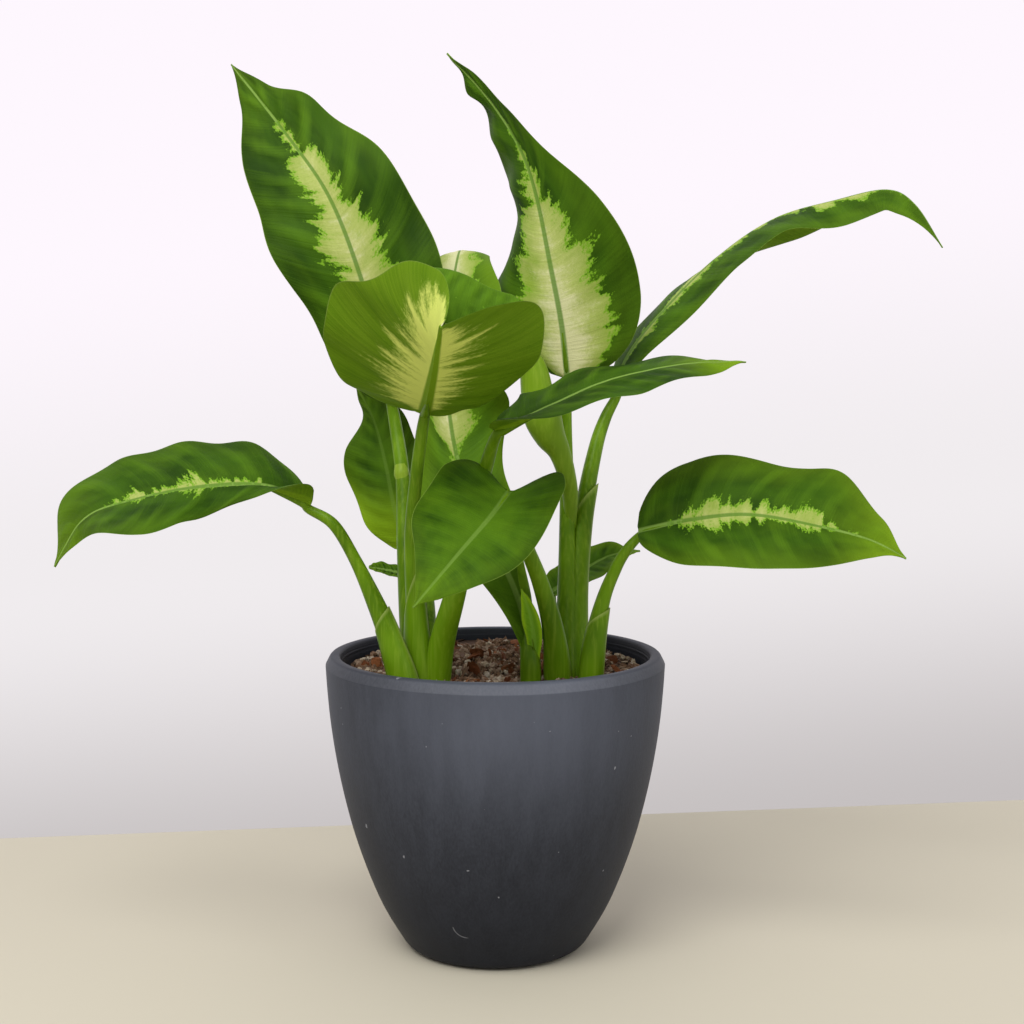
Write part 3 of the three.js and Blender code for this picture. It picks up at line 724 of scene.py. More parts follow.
soil = sheet("potting_mix", SKIN_ROUND, SKIN_RINGS, soil_formula, merge=1e-5)
pick_only(soil)
depth = soil.modifiers.new("depth", "SOLIDIFY")
depth.thickness = SKIN_DEPTH * MM
depth.offset = -1
bpy.ops.object.modifier_apply(modifier="depth")
finish_piece(soil, CRUMBLY["soil"], ["soil"])
print("potting mix:", len(soil.data.polygons), "faces")

# %% [markdown]
# ## Loose grains
#
# Crumbs of peat, chips and flakes of bark and white perlite lie on top, a few thousand of them.
# A particle system or instances could scatter them, but the export wants plain meshes. So one
# small ball is copied by arithmetic, each copy squeezed, dented and turned by chance, and all
# copies of a kind are one piece.

# %% scatter helpers
GRAIN_NARROWNESS = (0.3, 0.8)
GRAIN_SINK = (-0.25, 0.45)
GRAIN_SIZE_POWER = 1.5


def turned(n):
    """n random turns as rotation matrices."""
    q = unit(chance.normal(size=(n, 4)))
    w, x, y, z = q.T
    rows = [
        [1 - 2 * (y * y + z * z), 2 * (x * y - z * w), 2 * (x * z + y * w)],
        [2 * (x * y + z * w), 1 - 2 * (x * x + z * z), 2 * (y * z - x * w)],
        [2 * (x * z - y * w), 2 * (y * z + x * w), 1 - 2 * (x * x + y * y)],
    ]
    return np.array(rows).transpose(2, 0, 1)


def ball_of(subdivisions):
    """The points and the faces of Blender's ico sphere."""
    bpy.ops.mesh.primitive_ico_sphere_add(subdivisions=subdivisions, radius=1)
    seed = bpy.context.active_object
    ball = np.array([v.co[:] for v in seed.data.vertices])
    faces = np.array([p.vertices[:] for p in seed.data.polygons])
    bpy.data.objects.remove(seed)
    return ball, faces


def scatter(name, material, count, subdivisions, sizes, flatness, jag, reach):
    """Copies of a small ball, each squeezed, dented and turned, over the soil's top."""
    ball, faces = ball_of(subdivisions)
    radius = reach * np.sqrt(chance.uniform(0, 1, count))
    angle = chance.uniform(0, 2 * np.pi, count)
    x, y = radius * np.cos(angle), radius * np.sin(angle)
    size = chance.uniform(*sizes, count) ** GRAIN_SIZE_POWER
    narrow = chance.uniform(*GRAIN_NARROWNESS, count)
    flat = chance.uniform(*flatness, count)
    squeeze = np.stack([np.ones(count), narrow, flat], -1)
    dents = 1 + jag * chance.uniform(-1, 1, (count, len(ball), 1))
    shapes = ball[None] * dents * (squeeze * size[:, None])[:, None]
    shapes = np.einsum("nij,nvj->nvi", turned(count), shapes)
    height = soil_level(x, y) + size * chance.uniform(*GRAIN_SINK, count)
    shapes += np.stack([x, y, height], -1)[:, None]
    spots = shapes.reshape(-1, 3) * MM
    fans = (faces[None] + np.arange(count)[:, None, None] * len(ball)).reshape(-1, 3)
    data = bpy.data.meshes.new(name)
    data.from_pydata(spots.tolist(), [], fans.tolist())
    tone = np.repeat(chance.uniform(0, 1, count), len(ball))
    data.attributes.new("tone", "FLOAT", "POINT").data.foreach_set("value", tone)
    piece = bpy.data.objects.new(name, data)
    bpy.context.scene.collection.objects.link(piece)
    finish_piece(piece, CRUMBLY[material], [])
    print(name + ":", count, "grains")


scatter("peat_crumbs", "bark", 4200, 1, (0.5, 1.15), (0.5, 1.0), 0.35, 73.0)
scatter("bark_chips", "bark", 1500, 2, (0.95, 2.0), (0.2, 0.6), 0.3, 71.5)
scatter("bark_flakes", "bark_flakes", 130, 2, (2.0, 2.9), (0.12, 0.3), 0.3, 69.0)
scatter("perlite", "perlite", 700, 2, (0.85, 1.7), (0.6, 0.95), 0.28, 71.5)

# %% [markdown]
# ## The shapes of the leaves
#
# Every real leaf is the same blade grown to another size and bent another way. Each could be
# modelled by itself, which would take long and match poorly. So a leaf is a short list of
# measures: its midrib, which way its upper side looks along that midrib, and for either half the
# widths from stalk to tip, the lobe, the fold at the rib, the curl and the margin's wave. The
# splash lists say how far the cream goes out. `reach` is how far the side veins sweep toward the
# tip, as a share of the length, and `look` says how much painted light falls on the blade and its
# middle and where the green is young. Lengths are in mm and angles in degrees.


# %% leaf specifications in mm and degrees
def half(widths, lobe, fold, curl, wave):
    """One half of a blade. The wave is its height, its number of turns and where it starts."""
    return {"widths": widths, "lobe": lobe, "fold": fold, "curl": curl, "wave": wave}


LEAVES = {
    "upper_left": {
        "midrib": [
            (-52, 10, 268), (-56, 2, 293), (-65, -2, 328), (-79.5, 2, 364), (-100.5, 14, 394),
            (-131, 36, 432),
        ],
        "upper_side": [(-0.2, -1, 0.25), (-0.15, -1, 0.2), (-0.1, -1, 0.1)],
        "left": half([20, 29, 36, 33, 22, 10, 0.5], 6, [18, 10, 4], [-14, -12, -4], (1.5, 3, 0.3)),
        "right": half([28, 38, 37, 28, 20, 9, 0.5], 8, [14, 8, 4], [-18, -16, -6], (2, 4, 1.2)),
        "reach": 0.13,
        "splash": ([0.25, 0.22, 0.3, 0.32, 0.2, -0.12, -0.5], [0.5, 0.5, 0.42, 0.34, 0.2, -0.12, -0.5]),
        "look": {"bright": 0.05, "edge": 0.05, "tip": 0.1},
        "quilt": 1.5,
    },
    "upper_centre": {
        "midrib": [
            (35, 12, 278), (32, 6, 303), (27, 4, 329), (19, 8, 368), (10, 14, 392), (-5, 22, 415),
            (-24, 30, 436),
        ],
        "upper_side": [(0.1, -1, 0.1), (0, -1, 0.1), (-0.2, -1, 0.1), (-0.5, -0.8, 0.1), (-0.7, -0.6, 0)],
        "left": half(
            [20, 42, 29, 24, 12, 5, 0.5], 2, [5, 0, -10, -5, 0],
            [-50, -75, -95, -45, 0], (3, 6, 0),
        ),
        "right": half(
            [36, 41, 30, 12, 6, 5, 0.5], 8, [8, 8, 14, 26, 30, 30],
            [-10, -10, -10, 0, 0], (1.2, 3, 1),
        ),
        "reach": 0.13,
        "splash": (
            [0.62, 0.54, 0.42, 0.2, 0.04, -0.25, -0.5], [0.72, 0.66, 0.44, 0.24, 0.1, -0.15, -0.5],
        ),
        "look": {"bright": 0.05, "edge": 0.1},
    },
    "centre": {
        "midrib": [(-32, -40, 262), (-29, -66, 269), (-25, -95, 281), (-22, -122, 291), (-20, -145, 298)],
        "upper_side": [(0, 0.5, 0.9), (0, 0.5, 0.9), (0, 0.5, 0.9)],
        "left": half([10, 24, 40, 48, 45, 29, 0.5], 4, [-15, 0, 10, 26, 42], [0, 0], (1.8, 3, 0)),
        "right": half([24, 44, 55, 52, 39, 31, 9], 6, [8, 20, 36, 60, 118], [0, 0], (1.6, 4, 1)),
        "reach": 0.1,
        "splash": ([0.2, 0.26, 0.3, 0.32, 0.34, 0.45, 0.4], [0.3, 0.36, 0.4, 0.42, 0.46, 0.7, 0.9]),
        "look": {"bright": 0.15, "edge": 0.1, "tip": 0.1},
    },
    "centre_turned": {
        "midrib": [
            (-47, -100, 316), (-38, -103, 317), (-24, -106, 313.5), (-8, -104, 307.5),
            (6, -102, 304), (17, -102.5, 303),
        ],
        "upper_side": [(0, -1, 0.3), (0, -1, 0.3)],
        "left": half([4, 9, 12.5, 13, 11.5, 10.5, 7], 0, [0, 0], [-20, -30, -10], (0.8, 2, 0)),
        "right": half([2, 5, 12, 11, 7, 5, 4], 0, [0, 0], [0, 0], (0, 2, 1)),
        "reach": 0,
        "splash": ([-0.4, -0.4, -0.1, -0.1, -0.4], [-0.4, -0.4, -0.4]),
        "look": {"bright": 0.75},
        "rib": 0.0,
    },
    "centre_back": {
        "midrib": [
            (17, -26, 147), (12, -22, 170), (2, -13, 193), (-14, -2, 224), (-22, 8, 257),
            (-23, 12, 291), (-21, 16, 320), (-18, 32, 340), (-16, 62, 337),
        ],
        "upper_side": [
            (-0.3, -1, 0.3), (0, -1, 0.1), (0, -1, 0.1), (0, -1, 0.3), (0, -0.8, 0.8),
            (0, -0.3, 1),
        ],
        "left": half([5, 15, 25, 17, 15, 22, 22, 14, 1], 0, [30, 10, -20, -20, -20], [0, 0], (2, 4, 0)),
        "right": half(
            [7, 18, 19, 26, 30, 31, 20, 15, 1], 0, [20, -30, 0, 5, 5, 60, 20, 0, 0],
            [60, 195, 60, 0, 0, 0, 0, 0, 0], (3, 4, 1),
        ),
        "reach": 0.08,
        "splash": (
            [-0.6, -0.5, -0.4, 0.0, 0.57, 0.72, 0.72, 0.82, 0.4],
            [-0.6, -0.5, -0.4, -0.12, 0.32, 0.57, 0.57, 0.52, 0.2],
        ),
        "look": {"bright": 0.6, "edge": 0.3, "tip": 0.3, "middle": 0.3},
    },
    "shoot_flap": {
        "midrib": [(18.6, -26, 146), (18.4, -30, 157), (16.4, -31, 168), (12.5, -30, 179)],
        "upper_side": [(-0.4, -1, 0.1), (-0.3, -1, 0.1), (-0.2, -1, 0.1)],
        "left": half([3, 4, 4.6, 4, 2.4, 0.5], 0, [12, 8, 4], [-10, -8, -4], (0.2, 2, 0.3)),
        "right": half([3, 4, 4.2, 3.4, 2, 0.5], 0, [12, 8, 4], [-10, -8, -4], (0.2, 2, 1.2)),
        "reach": 0.1,
        "splash": ([-0.5, -0.5, -0.5], [-0.5, -0.5, -0.5]),
        "look": {"bright": 1.2, "edge": 1.6, "tip": 0.8, "middle": 0.5},
        "rib": 0.2,
        "quilt": 0.3,
        # painted light: the flap glows a little, in place of light shining through it
        "glow": 0.3,
    },
    "heart": {
        "midrib": [(7, -62, 227), (-1.5, -80, 217), (-14, -98, 204), (-25, -110, 192), (-33, -116, 183)],
        "upper_side": [(-0.1, -0.8, 0.7), (-0.1, -0.9, 0.5), (0, -1, 0.3)],
        "left": half([20, 25, 26, 23, 15, 7, 0.5], 33, [20, 12, 8], [-20, -20, -10], (0.6, 2, 0)),
        "right": half([33, 33, 31, 26, 16, 7, 0.5], 20, [20, 12, 8], [-20, -20, -10], (0.6, 2, 1)),
        "reach": 0.1,
        "splash": ([-0.3, -0.3, -0.35, -0.5], [-0.3, -0.3, -0.35, -0.5]),
        "look": {"bright": 0.3, "edge": 0.1, "tip": 0.3, "middle": 0.6},
        "rib": 0.45,
        "quilt": 0.35,
    },
    "centre_right": {
        "midrib": [
            (1, -58, 254), (14, -62, 260), (29, -61, 267), (47, -58, 275), (65, -54, 280),
            (88, -50, 284), (114, -46, 285),
        ],
        "upper_side": [(-0.1, -0.3, 1), (-0.1, -0.28, 1), (0, -0.25, 1)],
        "left": half([22, 25, 27, 24, 16, 8, 0.5], 6, [20, 5, 2, 2], [-10, -10], (1.2, 3, 0)),
        "right": half([20, 23, 24, 20, 15, 9, 0.5], 4, [40, 14, 4, -4, -10], [-15, -10], (1.5, 3, 1)),
        "reach": 0.12,
        "splash": ([-0.35, -0.35, -0.4], [-0.35, -0.35, -0.4]),
        "look": {"tip": 0.9},
    },
    "long_right": {
        "midrib": [
            (58, 30, 270), (67, 31, 290), (83, 32, 310), (111, 32, 338), (138, 28, 356),
            (166, 20, 364), (189, 10, 368), (201, 2, 360), (212, -8, 339),
        ],
        "upper_side": [
            (-0.5, -0.25, 0.8), (-0.5, -0.25, 0.8), (-0.4, -0.25, 0.9), (-0.2, -0.3, 1),
            (0, -0.3, 1), (0.4, -0.3, 0.9), (0.8, -0.3, 0.5),
        ],
        "left": half(
            [12, 20, 24, 24, 18, 9, 0.5], 4, [0, 0, -3, -30, -42, -34, -40, -40],
            [-10, -10], (1, 3, 0),
        ),
        "right": half(
            [10, 18, 23, 24, 20, 12, 0.5], 4, [-10, -10, -12, -5, 0, -32, -40, -40],
            [-10, -10], (1, 3, 1),
        ),
        "reach": 0.06,
        "splash": ([-0.1, 0.05, 0.28, 0.35, 0.4, 0.15, -0.4], [0.0, 0.2, 0.16, 0.12, 0.22, 0.05, -0.4]),
        "look": {"bright": 0.15, "edge": 0.1, "tip": 0.1},
    },
    "right": {
        "midrib": [
            (67, -30, 206), (90, -38, 212), (117, -44, 215), (148, -48, 210), (171, -50, 204),
            (187, -52, 196),
        ],
        "upper_side": [(-0.1, -0.8, 0.7), (0, -0.8, 0.7), (0.1, -0.8, 0.7)],
        "left": half([26, 33, 30, 31, 30, 15, 0.5], 1, [20, 15, 10], [-20, -20, -10], (1.2, 3, 1)),
        "right": half([20, 30, 33, 29, 21, 10, 0.5], 1, [20, 15, 10], [-15, -15, -10], (1.2, 3, 2.5)),
        "reach": 0.1,
        "splash": (
            [-0.3, 0.08, 0.2, 0.24, 0.14, -0.15, -0.5], [-0.3, 0.08, 0.2, 0.16, 0.06, -0.25, -0.5],
        ),
        "look": {"bright": 0.02, "edge": 0.26, "tip": 0.75},
    },
    "left": {
        "midrib": [
            (-86, -30, 219), (-106, -38, 228), (-134, -44, 228), (-165, -50, 222),
            (-185, -54, 214), (-198, -58, 193),
        ],
        "upper_side": [(0.2, -0.4, 1), (0, -0.4, 1), (-0.3, -0.45, 0.9), (-0.6, -0.4, 0.6)],
        "left": half(
            [18, 11, 21, 30, 23, 10, 0.5], 0, [95, 25, -25, 0, 4, 4, 4],
            [-10, -20, -10], (1.5, 3, 0.5),
        ),
        "right": half([20, 30, 33, 31, 28, 15, 0.5], 0, [20, 20, 15], [-10, -10], (1.1, 5, 1)),
        "reach": 0.12,
        "splash": (
            [-0.3, -0.1, 0.02, 0.04, -0.04, -0.3, -0.5],
            [-0.3, 0.0, 0.12, 0.14, 0.06, -0.25, -0.5],
        ),
        "look": {"bright": 0.05, "edge": 0.1, "tip": 0.4},
    },
    "left_middle": {
        "midrib": [(-46, 34, 191), (-51, 32, 211), (-56, 34, 236), (-62, 40, 256), (-72, 50, 274)],
        "upper_side": [(-0.3, -1, 0.1), (-0.3, -1, 0.1)],
        "left": half([10, 18, 22, 17, 8, 4, 0.5], 1, [10, 10], [0, 0], (2, 2, 0)),
        "right": half([12, 16, 19, 18, 14, 7, 0.5], 1, [10, 10], [-20, -20], (1.5, 3, 1)),
        "reach": 0.12,
        "splash": ([-0.3, -0.3, -0.4], [-0.3, -0.3, -0.4]),
        "look": {"bright": 0.3, "edge": 0.15, "tip": 0.25, "middle": 0.35, "foot": 1.1},
        "rib": 0.25,
    },
    "low_right": {
        "midrib": [(28, 30, 169), (43, 34, 179), (58, 36, 187), (73, 34, 190)],
        "upper_side": [(0, -0.5, 1), (0, -0.5, 1)],
        "left": half([10, 12, 14, 12, 8, 4, 0.5], 2, [15, 15], [0, 0], (0.8, 3, 0)),
        "right": half([8, 12, 15, 14, 10, 5, 0.5], 2, [15, 10], [0, 0], (0.8, 3, 1)),
        "reach": 0.1,
        "splash": ([-0.4, -0.4, -0.4], [-0.4, -0.4, -0.4]),
        "look": {"bright": 0.45, "edge": 0.5, "tip": 0.4},
    },
    "small_left": {
        "midrib": [(-41, 12, 179), (-50, 10, 182), (-62, 6, 185)],
        "upper_side": [(0, -0.6, 1), (0, -0.6, 1)],
        "left": half([4, 5, 6, 6, 5, 4, 2], 1, [15, 15], [0, 0], (0.3, 3, 0)),
        "right": half([3, 4, 5, 5, 5, 4, 2], 1, [15, 10], [0, 0], (0.3, 3, 1)),
        "reach": 0.1,
        "splash": ([-0.4, -0.4, -0.4], [-0.4, -0.4, -0.4]),
        "look": {"bright": 0.3, "edge": 0.3, "tip": 0.3},
    },
}
print("leaves:", len(LEAVES))

# %% [markdown]
# ## The courses of the stalks
#
# Nearly every leaf has its own stalk, which rises from the mix and bends toward its blade. A
# growth rule could guess their courses, but these stalks cross and lean as only this plant's do.
# So each course is a few listed points, each with a radius, and the imported node that the
# stalk belongs to.

# %% stalk specifications in mm
STALKS = {
    "stalk_upper_left": {
        "path": [
            (-37, -18, 133), (-40, -14, 162), (-43.5, -6, 197), (-45, 4, 228), (-48.8, 13.5, 252),
            (-51.5, 15, 266.5),
        ],
        "radii": [7, 6, 4, 3.6, 3.2, 2.6],
        "node": "left_crown",
    },
    "stalk_centre": {
        "path": [
            (-36, -24, 134), (-37, -24, 163), (-39, -28, 202), (-36.5, -34, 230),
            (-33.5, -38.5, 251), (-32, -40.7, 259.9),
        ],
        "radii": [7, 5, 3.4, 3, 2.8, 2.4],
        "node": "left_crown",
    },
    "stalk_centre_right": {
        "path": [
            (-28, -24, 134), (-24.5, -28, 155), (-18, -36, 179), (-10, -42, 213), (-3, -50, 240),
            (1.1, -57.7, 252),
        ],
        "radii": [7, 6, 5, 3.8, 3.1, 2.4],
        "node": "left_crown",
    },
    "stalk_left_middle": {
        "path": [(-33, -16, 134), (-32, 6, 152), (-34, 24, 170), (-40, 36, 183), (-45.3, 36.4, 190.6)],
        "radii": [5, 3, 2.4, 2.2, 1.8],
        "node": "left_crown",
    },
    "stalk_small_left": {
        "path": [(-38, -11, 148), (-39, 4, 162), (-41.2, 13.2, 177)],
        "radii": [3, 1.8, 1.3],
        "node": "left_crown",
    },
    "stalk_upper_centre": {
        "path": [(33.4, -16, 131), (34.6, -5, 175), (35, 7, 218), (34.6, 15.6, 253), (35, 17, 276.5)],
        "radii": [6, 4.6, 3.6, 3, 2.4],
        "node": "right_crown",
    },
    "stalk_long_right": {
        "path": [
            (38.5, -12, 133), (39.8, -1.4, 176), (43.5, 12, 213), (49.5, 22, 242), (54.6, 28, 257),
            (60.6, 31, 268.6),
        ],
        "radii": [6, 5, 4.4, 3.6, 3, 2.3],
        "node": "right_crown",
    },
    "stalk_heart": {
        "path": [
            (30, -24, 134), (27.5, -28, 159), (21.5, -34, 182), (13.6, -44, 203), (9, -55, 217),
            (6.6, -60.8, 223.7),
        ],
        "radii": [7, 5.2, 4, 3.3, 2.8, 2.3],
        "node": "right_crown",
    },
    "stalk_low_right": {
        "path": [(31, -9, 135.5), (30.4, 12, 149), (28.8, 31, 166.8)],
        "radii": [4, 2.6, 1.6],
        "node": "right_crown",
    },
    "stalk_right": {
        "path": [
            (45, -30, 134), (47, -30, 155), (51, -28, 174), (57, -28, 189), (62, -28, 197.4),
            (68, -28, 204),
        ],
        "radii": [5.6, 5, 3.4, 2.8, 2.5, 2],
        "node": "right_stalk",
    },
    "stalk_left": {
        "path": [
            (-42, -36, 134), (-48.5, -36, 156), (-55.5, -34, 173), (-65, -32, 193),
            (-75, -31, 209.4), (-86.5, -29.2, 216.4),
        ],
        "radii": [7, 5.4, 4.2, 2.9, 2.7, 2.2],
        "node": "left_stalk",
    },
    "shoot_foot": {
        "path": [(17, -26, 132), (16.6, -25.6, 146), (15, -21.5, 157), (12.4, -18.6, 167), (9, -15, 177)],
        "radii": [5, 4.7, 3.6, 2, 0.6],
        "node": "centre_shoot",
    },
}
print("stalks:", len(STALKS))

# %% [markdown]
# ## Sheaths and the scar
#
# The foot of an old stalk wraps the next one in a sheath: a thin open tube with a slanting lip. A
# pale sheath stands rolled up between the stalks, and a leaf that fell has left a swelling on
# one of them. They could be carved out of the stalks, but as pieces of their own their lips stay
# thin and sharp.

# %% sheath specifications in mm
ROLLED_SHEATH = {
    "path": [
        (36.5, 5, 205), (36.4, 2, 220), (34.4, -1, 231), (30.8, -3, 242), (26.2, -4, 250),
        (22.6, -5, 259), (20.4, -5, 269), (18, -5, 282), (13, -5, 291),
    ],
    "radii": [3, 3.8, 4.4, 5.4, 7.6, 9, 8, 6.6, 4.6],
}
LEAF_SCAR = {
    "path": [(-45.2, 3.4, 228), (-45.6, 4.6, 231), (-46.1, 6, 235)],
    "radii": [3.1, 3.8, 3.1],
}
SHEATH_WALL = 0.5
SHEATHS = {
    "sheath_left_stalk": {
        "path": [(-42, -36, 134), (-48.5, -36, 156), (-53.8, -34.6, 170)],
        "radii": [7.5, 5.9, 5.0],
        "gap": 0.06, "lip": 0.25,
    },
    "sheath_right_stalk": {
        "path": [(45, -30, 134), (47, -30, 155), (50.3, -28.6, 171)],
        "radii": [6.1, 5.5, 4.1],
        "gap": 0.06, "lip": 0.25,
    },
    "sheath_long_right": {
        "path": [(38.5, -12, 133), (39.5, -2, 174), (42.4, 8.4, 205), (45.6, 15.5, 226)],
        "radii": [6.8, 5.8, 5.3, 5.4],
        "gap": 0.08, "lip": 0.3,
    },
    "sheath_centre": {
        "path": [(-36, -24, 134), (-37.3, -24.6, 168), (-38.4, -26.6, 194)],
        "radii": [7.8, 5.5, 4.4],
        "gap": 0.08, "lip": 0.4,
    },
}
print("sheaths:", len(SHEATHS))

# %% [markdown]
# ## Tubes
#
# A stalk is round and thins toward its leaf. A curve with a bevel could make it, but it would
# give neither a sheath's gap and lip nor the pale edge. So a sheet is rolled round the course. A
# sheath uses half of the sheet for its outer face and comes back along the inside with the rest.

# %% tubes
TUBE_SIDES = 28
TUBE_ROWS = 90
STALK_FOOT = 118
STANDS_IN_SOIL_BELOW = 140
FOOT_SHARE = 0.85
TIP_SHARES = (0.8, 0.35)
LIP_CURVE = 1.5
THIN_EDGE = 0.04
PALE_SIDE_EDGE = 0.06
PALE_LIP = 0.05
PALE_SHARE = 0.5


def frames_along(track):
    """Two directions across the curve at each point, turned as little as possible on the way."""
    forward = unit(np.gradient(track, axis=0))
    across = np.empty_like(forward)
    side = np.array([1.0, 0.0, 0.0])
    for i, direction in enumerate(forward):
        side = side - direction * (side @ direction)
        side = side / np.linalg.norm(side)
        across[i] = side
    return across, np.cross(forward, across)


def whole_course(spec):
    """The path and radii with the foot in the soil and the end that runs on under the leaf."""
    beyond = spec.get("beyond", [])
    path = [*spec["path"], *beyond]
    last = spec["radii"][-1]
    radii = [*spec["radii"], *(last * share for share in TIP_SHARES[: len(beyond)])]
    if path[0][2] < STANDS_IN_SOIL_BELOW:
        path.insert(0, (*path[0][:2], STALK_FOOT))
        radii.insert(0, radii[0] * FOOT_SHARE)
    return path, radii


def tube(name, spec, material, replaced, wall=0):
    """A closed tube along a path, or with a wall an open sheath with a slanting lip."""
    path, radii = whole_course(spec)
    gap = spec.get("gap", 0)
    shares = np.linspace(0, 1, TUBE_ROWS + 1)
    track, size = along(path, shares), along(radii, shares)[:, None]
    across, up = frames_along(track)

    def formula(u, v):
        outer = u < 0.5
        round_it = np.where(outer, 2 * u, 2 - 2 * u) if wall else u
        row = v * TUBE_ROWS
        if wall:
            row = row * (1 - spec["lip"] * (1 - np.abs(2 * round_it - 1)) ** LIP_CURVE)
        i = np.clip(row.astype(int), 0, TUBE_ROWS - 1)
        share = (row - i)[:, None]

        def between_rows(table):
            return table[i] * (1 - share) + table[i + 1] * share

        angle = 2 * np.pi * (round_it * (1 - gap) + gap / 2)
        radius = between_rows(size)[:, 0]
        edge = np.zeros_like(u)
        if wall:
            from_gap = np.minimum(round_it, 1 - round_it)
            at_side = np.clip(from_gap / THIN_EDGE, 0, 1)
            at_lip = np.clip((1 - v) / THIN_EDGE, 0, 1)
            radius = radius - np.where(outer, 0, wall * np.minimum(at_side, at_lip))
            edge = np.maximum(1 - from_gap / PALE_SIDE_EDGE, 1 - (1 - v) / PALE_LIP)
        cosine, sine = np.cos(angle)[:, None], np.sin(angle)[:, None]
        direction = between_rows(across) * cosine + between_rows(up) * sine
        points = between_rows(track) + direction * radius[:, None]
        return points, {"pale_edge": np.clip(edge, 0, 1) * PALE_SHARE}

    sides = 2 * TUBE_SIDES if wall else TUBE_SIDES
    piece = sheet(name, sides, TUBE_ROWS, formula)
    finish_piece(piece, material, replaced)


print("a tube has", TUBE_SIDES * TUBE_ROWS, "faces round its length")

# %% [markdown]
# ## Make the stalks
#
# On the plant a stalk becomes the midrib of its leaf. The two could be one mesh, but they are
# separate pieces here, so each stalk runs on a little way under its blade, where it cannot be
# seen to end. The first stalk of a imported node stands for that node, and the others ride along.

# %% make the stalks
JOIN_STEPS = ((4, 1.3), (22, 0.6))


def under_blade(leaf, distance, depth):
    """A point under the midrib of a leaf, at a distance from its stalk."""
    line = Midrib(leaf["midrib"])
    y = np.array([distance], float)
    forward = line.tangent(y)[0]
    up = np.array(leaf["upper_side"][0], float)
    up = unit(up - forward * (up @ forward))
    return tuple(line.point(y)[0] - up * depth)


stood_for = set()
for name, spec in STALKS.items():
    leaf = LEAVES.get(name.replace("stalk_", ""))
    if leaf:
        spec["beyond"] = [under_blade(leaf, *step) for step in JOIN_STEPS]
    first = spec["node"] not in stood_for
    stood_for.add(spec["node"])
    tube(name, spec, STALK, [spec["node"]] if first else [])
tube("rolled_sheath", ROLLED_SHEATH, SHEATH, [])
for name, spec in SHEATHS.items():
    tube(name, spec, STALK, [], SHEATH_WALL)
tube("leaf_scar", LEAF_SCAR, SCAR, [])
print("packed nodes that the stalks stand for:", sorted(stood_for))

# %% [markdown]
# ## The blade
#
# A blade is broad near its stalk, with a lobe on either side of it, and ends in a drip tip. Its
# halves fold up from the rib, curl over and ripple at the margin. It could be a flat outline bent
# by modifiers, but the bends would stretch it. Here each point is placed by arithmetic instead:
# along the midrib, then out over an arc that keeps the half's width.

# %% blade formula
BASE_HALF_WIDTH = 3
LEAST_HALF_WIDTH = 0.4
BASE_ROUNDING = 0.14
LOBE_ROUNDING = 0.07
VEIN_CURVE = 1.6
SWEEP_CURVE = 0.75
DRIP_START = 0.84
DRIP_DEPTH = 0.5
RUFFLE = 0.6
NO_CURL = 1e-4


def fade(s):
    """0 at the stalk and at the tip, 1 between them."""
    return smoothstep(6 * s) * smoothstep(5 * (1 - s))


def margin_width(side, v):
    """The half width at v: the list of widths, the round base, the drip tip and the ruffle."""
    height, count, phase = side["wave"]
    before_full = 1 - np.clip(v / BASE_ROUNDING, 0, 1)
    drip = 1 - DRIP_DEPTH * smoothstep((v - DRIP_START) / (1 - DRIP_START))
    full = np.maximum(along(side["widths"], v) * drip, LEAST_HALF_WIDTH)
    start = np.minimum(BASE_HALF_WIDTH, full)
    ruffle = RUFFLE * height * np.cos(2 * np.pi * count * v + phase)
    return start + (full - start) * np.sqrt(1 - before_full**2) + ruffle * fade(v)


def half_blade(leaf, side, sign, v, o):
    """Points of one half, at vein places v and places o from the rib, 0, to the margin, 1."""
    midrib = leaf["line"]
    height, count, phase = side["wave"]
    margin = margin_width(side, v)
    sweep = leaf["reach"] * midrib.length * np.sin(np.pi * v**SWEEP_CURVE)
    past_sinus = np.sqrt(1 - (1 - np.clip(v / LOBE_ROUNDING, 0, 1)) ** 2)
    lobe = side["lobe"] * (1 - v) ** 3 * past_sinus
    y = v * midrib.length + (sweep - lobe) * o**VEIN_CURVE
    place = np.clip(y / midrib.length, 0, 1)
    forward = midrib.tangent(y)
    up = along(leaf["upper_side"], place)
    up = unit(up - forward * (up * forward).sum(-1, keepdims=True))
    across = np.cross(forward, up)
    fold = np.radians(along(side["fold"], place))
    curl = np.radians(along(side["curl"], place))
    curl = np.where(np.abs(curl) < NO_CURL, NO_CURL, curl)
    bent = fold + curl * o
    sideways = margin * (np.sin(bent) - np.sin(fold)) / curl
    lifted = margin * (np.cos(fold) - np.cos(bent)) / curl
    wave = height * o * o * np.sin(2 * np.pi * count * place + phase) * fade(place)
    spot = midrib.point(y) + across * (sign * sideways)[:, None] + up * (lifted + wave)[:, None]
    return spot, margin * o * sign


def blade(leaf, s, a):
    """Points of a blade's middle surface at vein places s and places a across it."""
    made = np.zeros((len(s), 3))
    widths = np.zeros(len(s))
    for key, sign, here in (("left", -1, a < 0), ("right", 1, a >= 0)):
        made[here], widths[here] = half_blade(leaf, leaf[key], sign, s[here], np.abs(a[here]))
    return made, widths


print("a blade starts", 2 * BASE_HALF_WIDTH, "mm wide at its stalk")

# %% [markdown]
# ## Thickness, rib and quilting
#
# A real blade is under a millimetre thick, with a strong rib below and a groove above, and it
# swells a little between its side veins. A solidify modifier would give an even thickness only.
# So the sheet runs over the upper face and back beneath it, and each face is moved off the middle
# surface by its own amount.

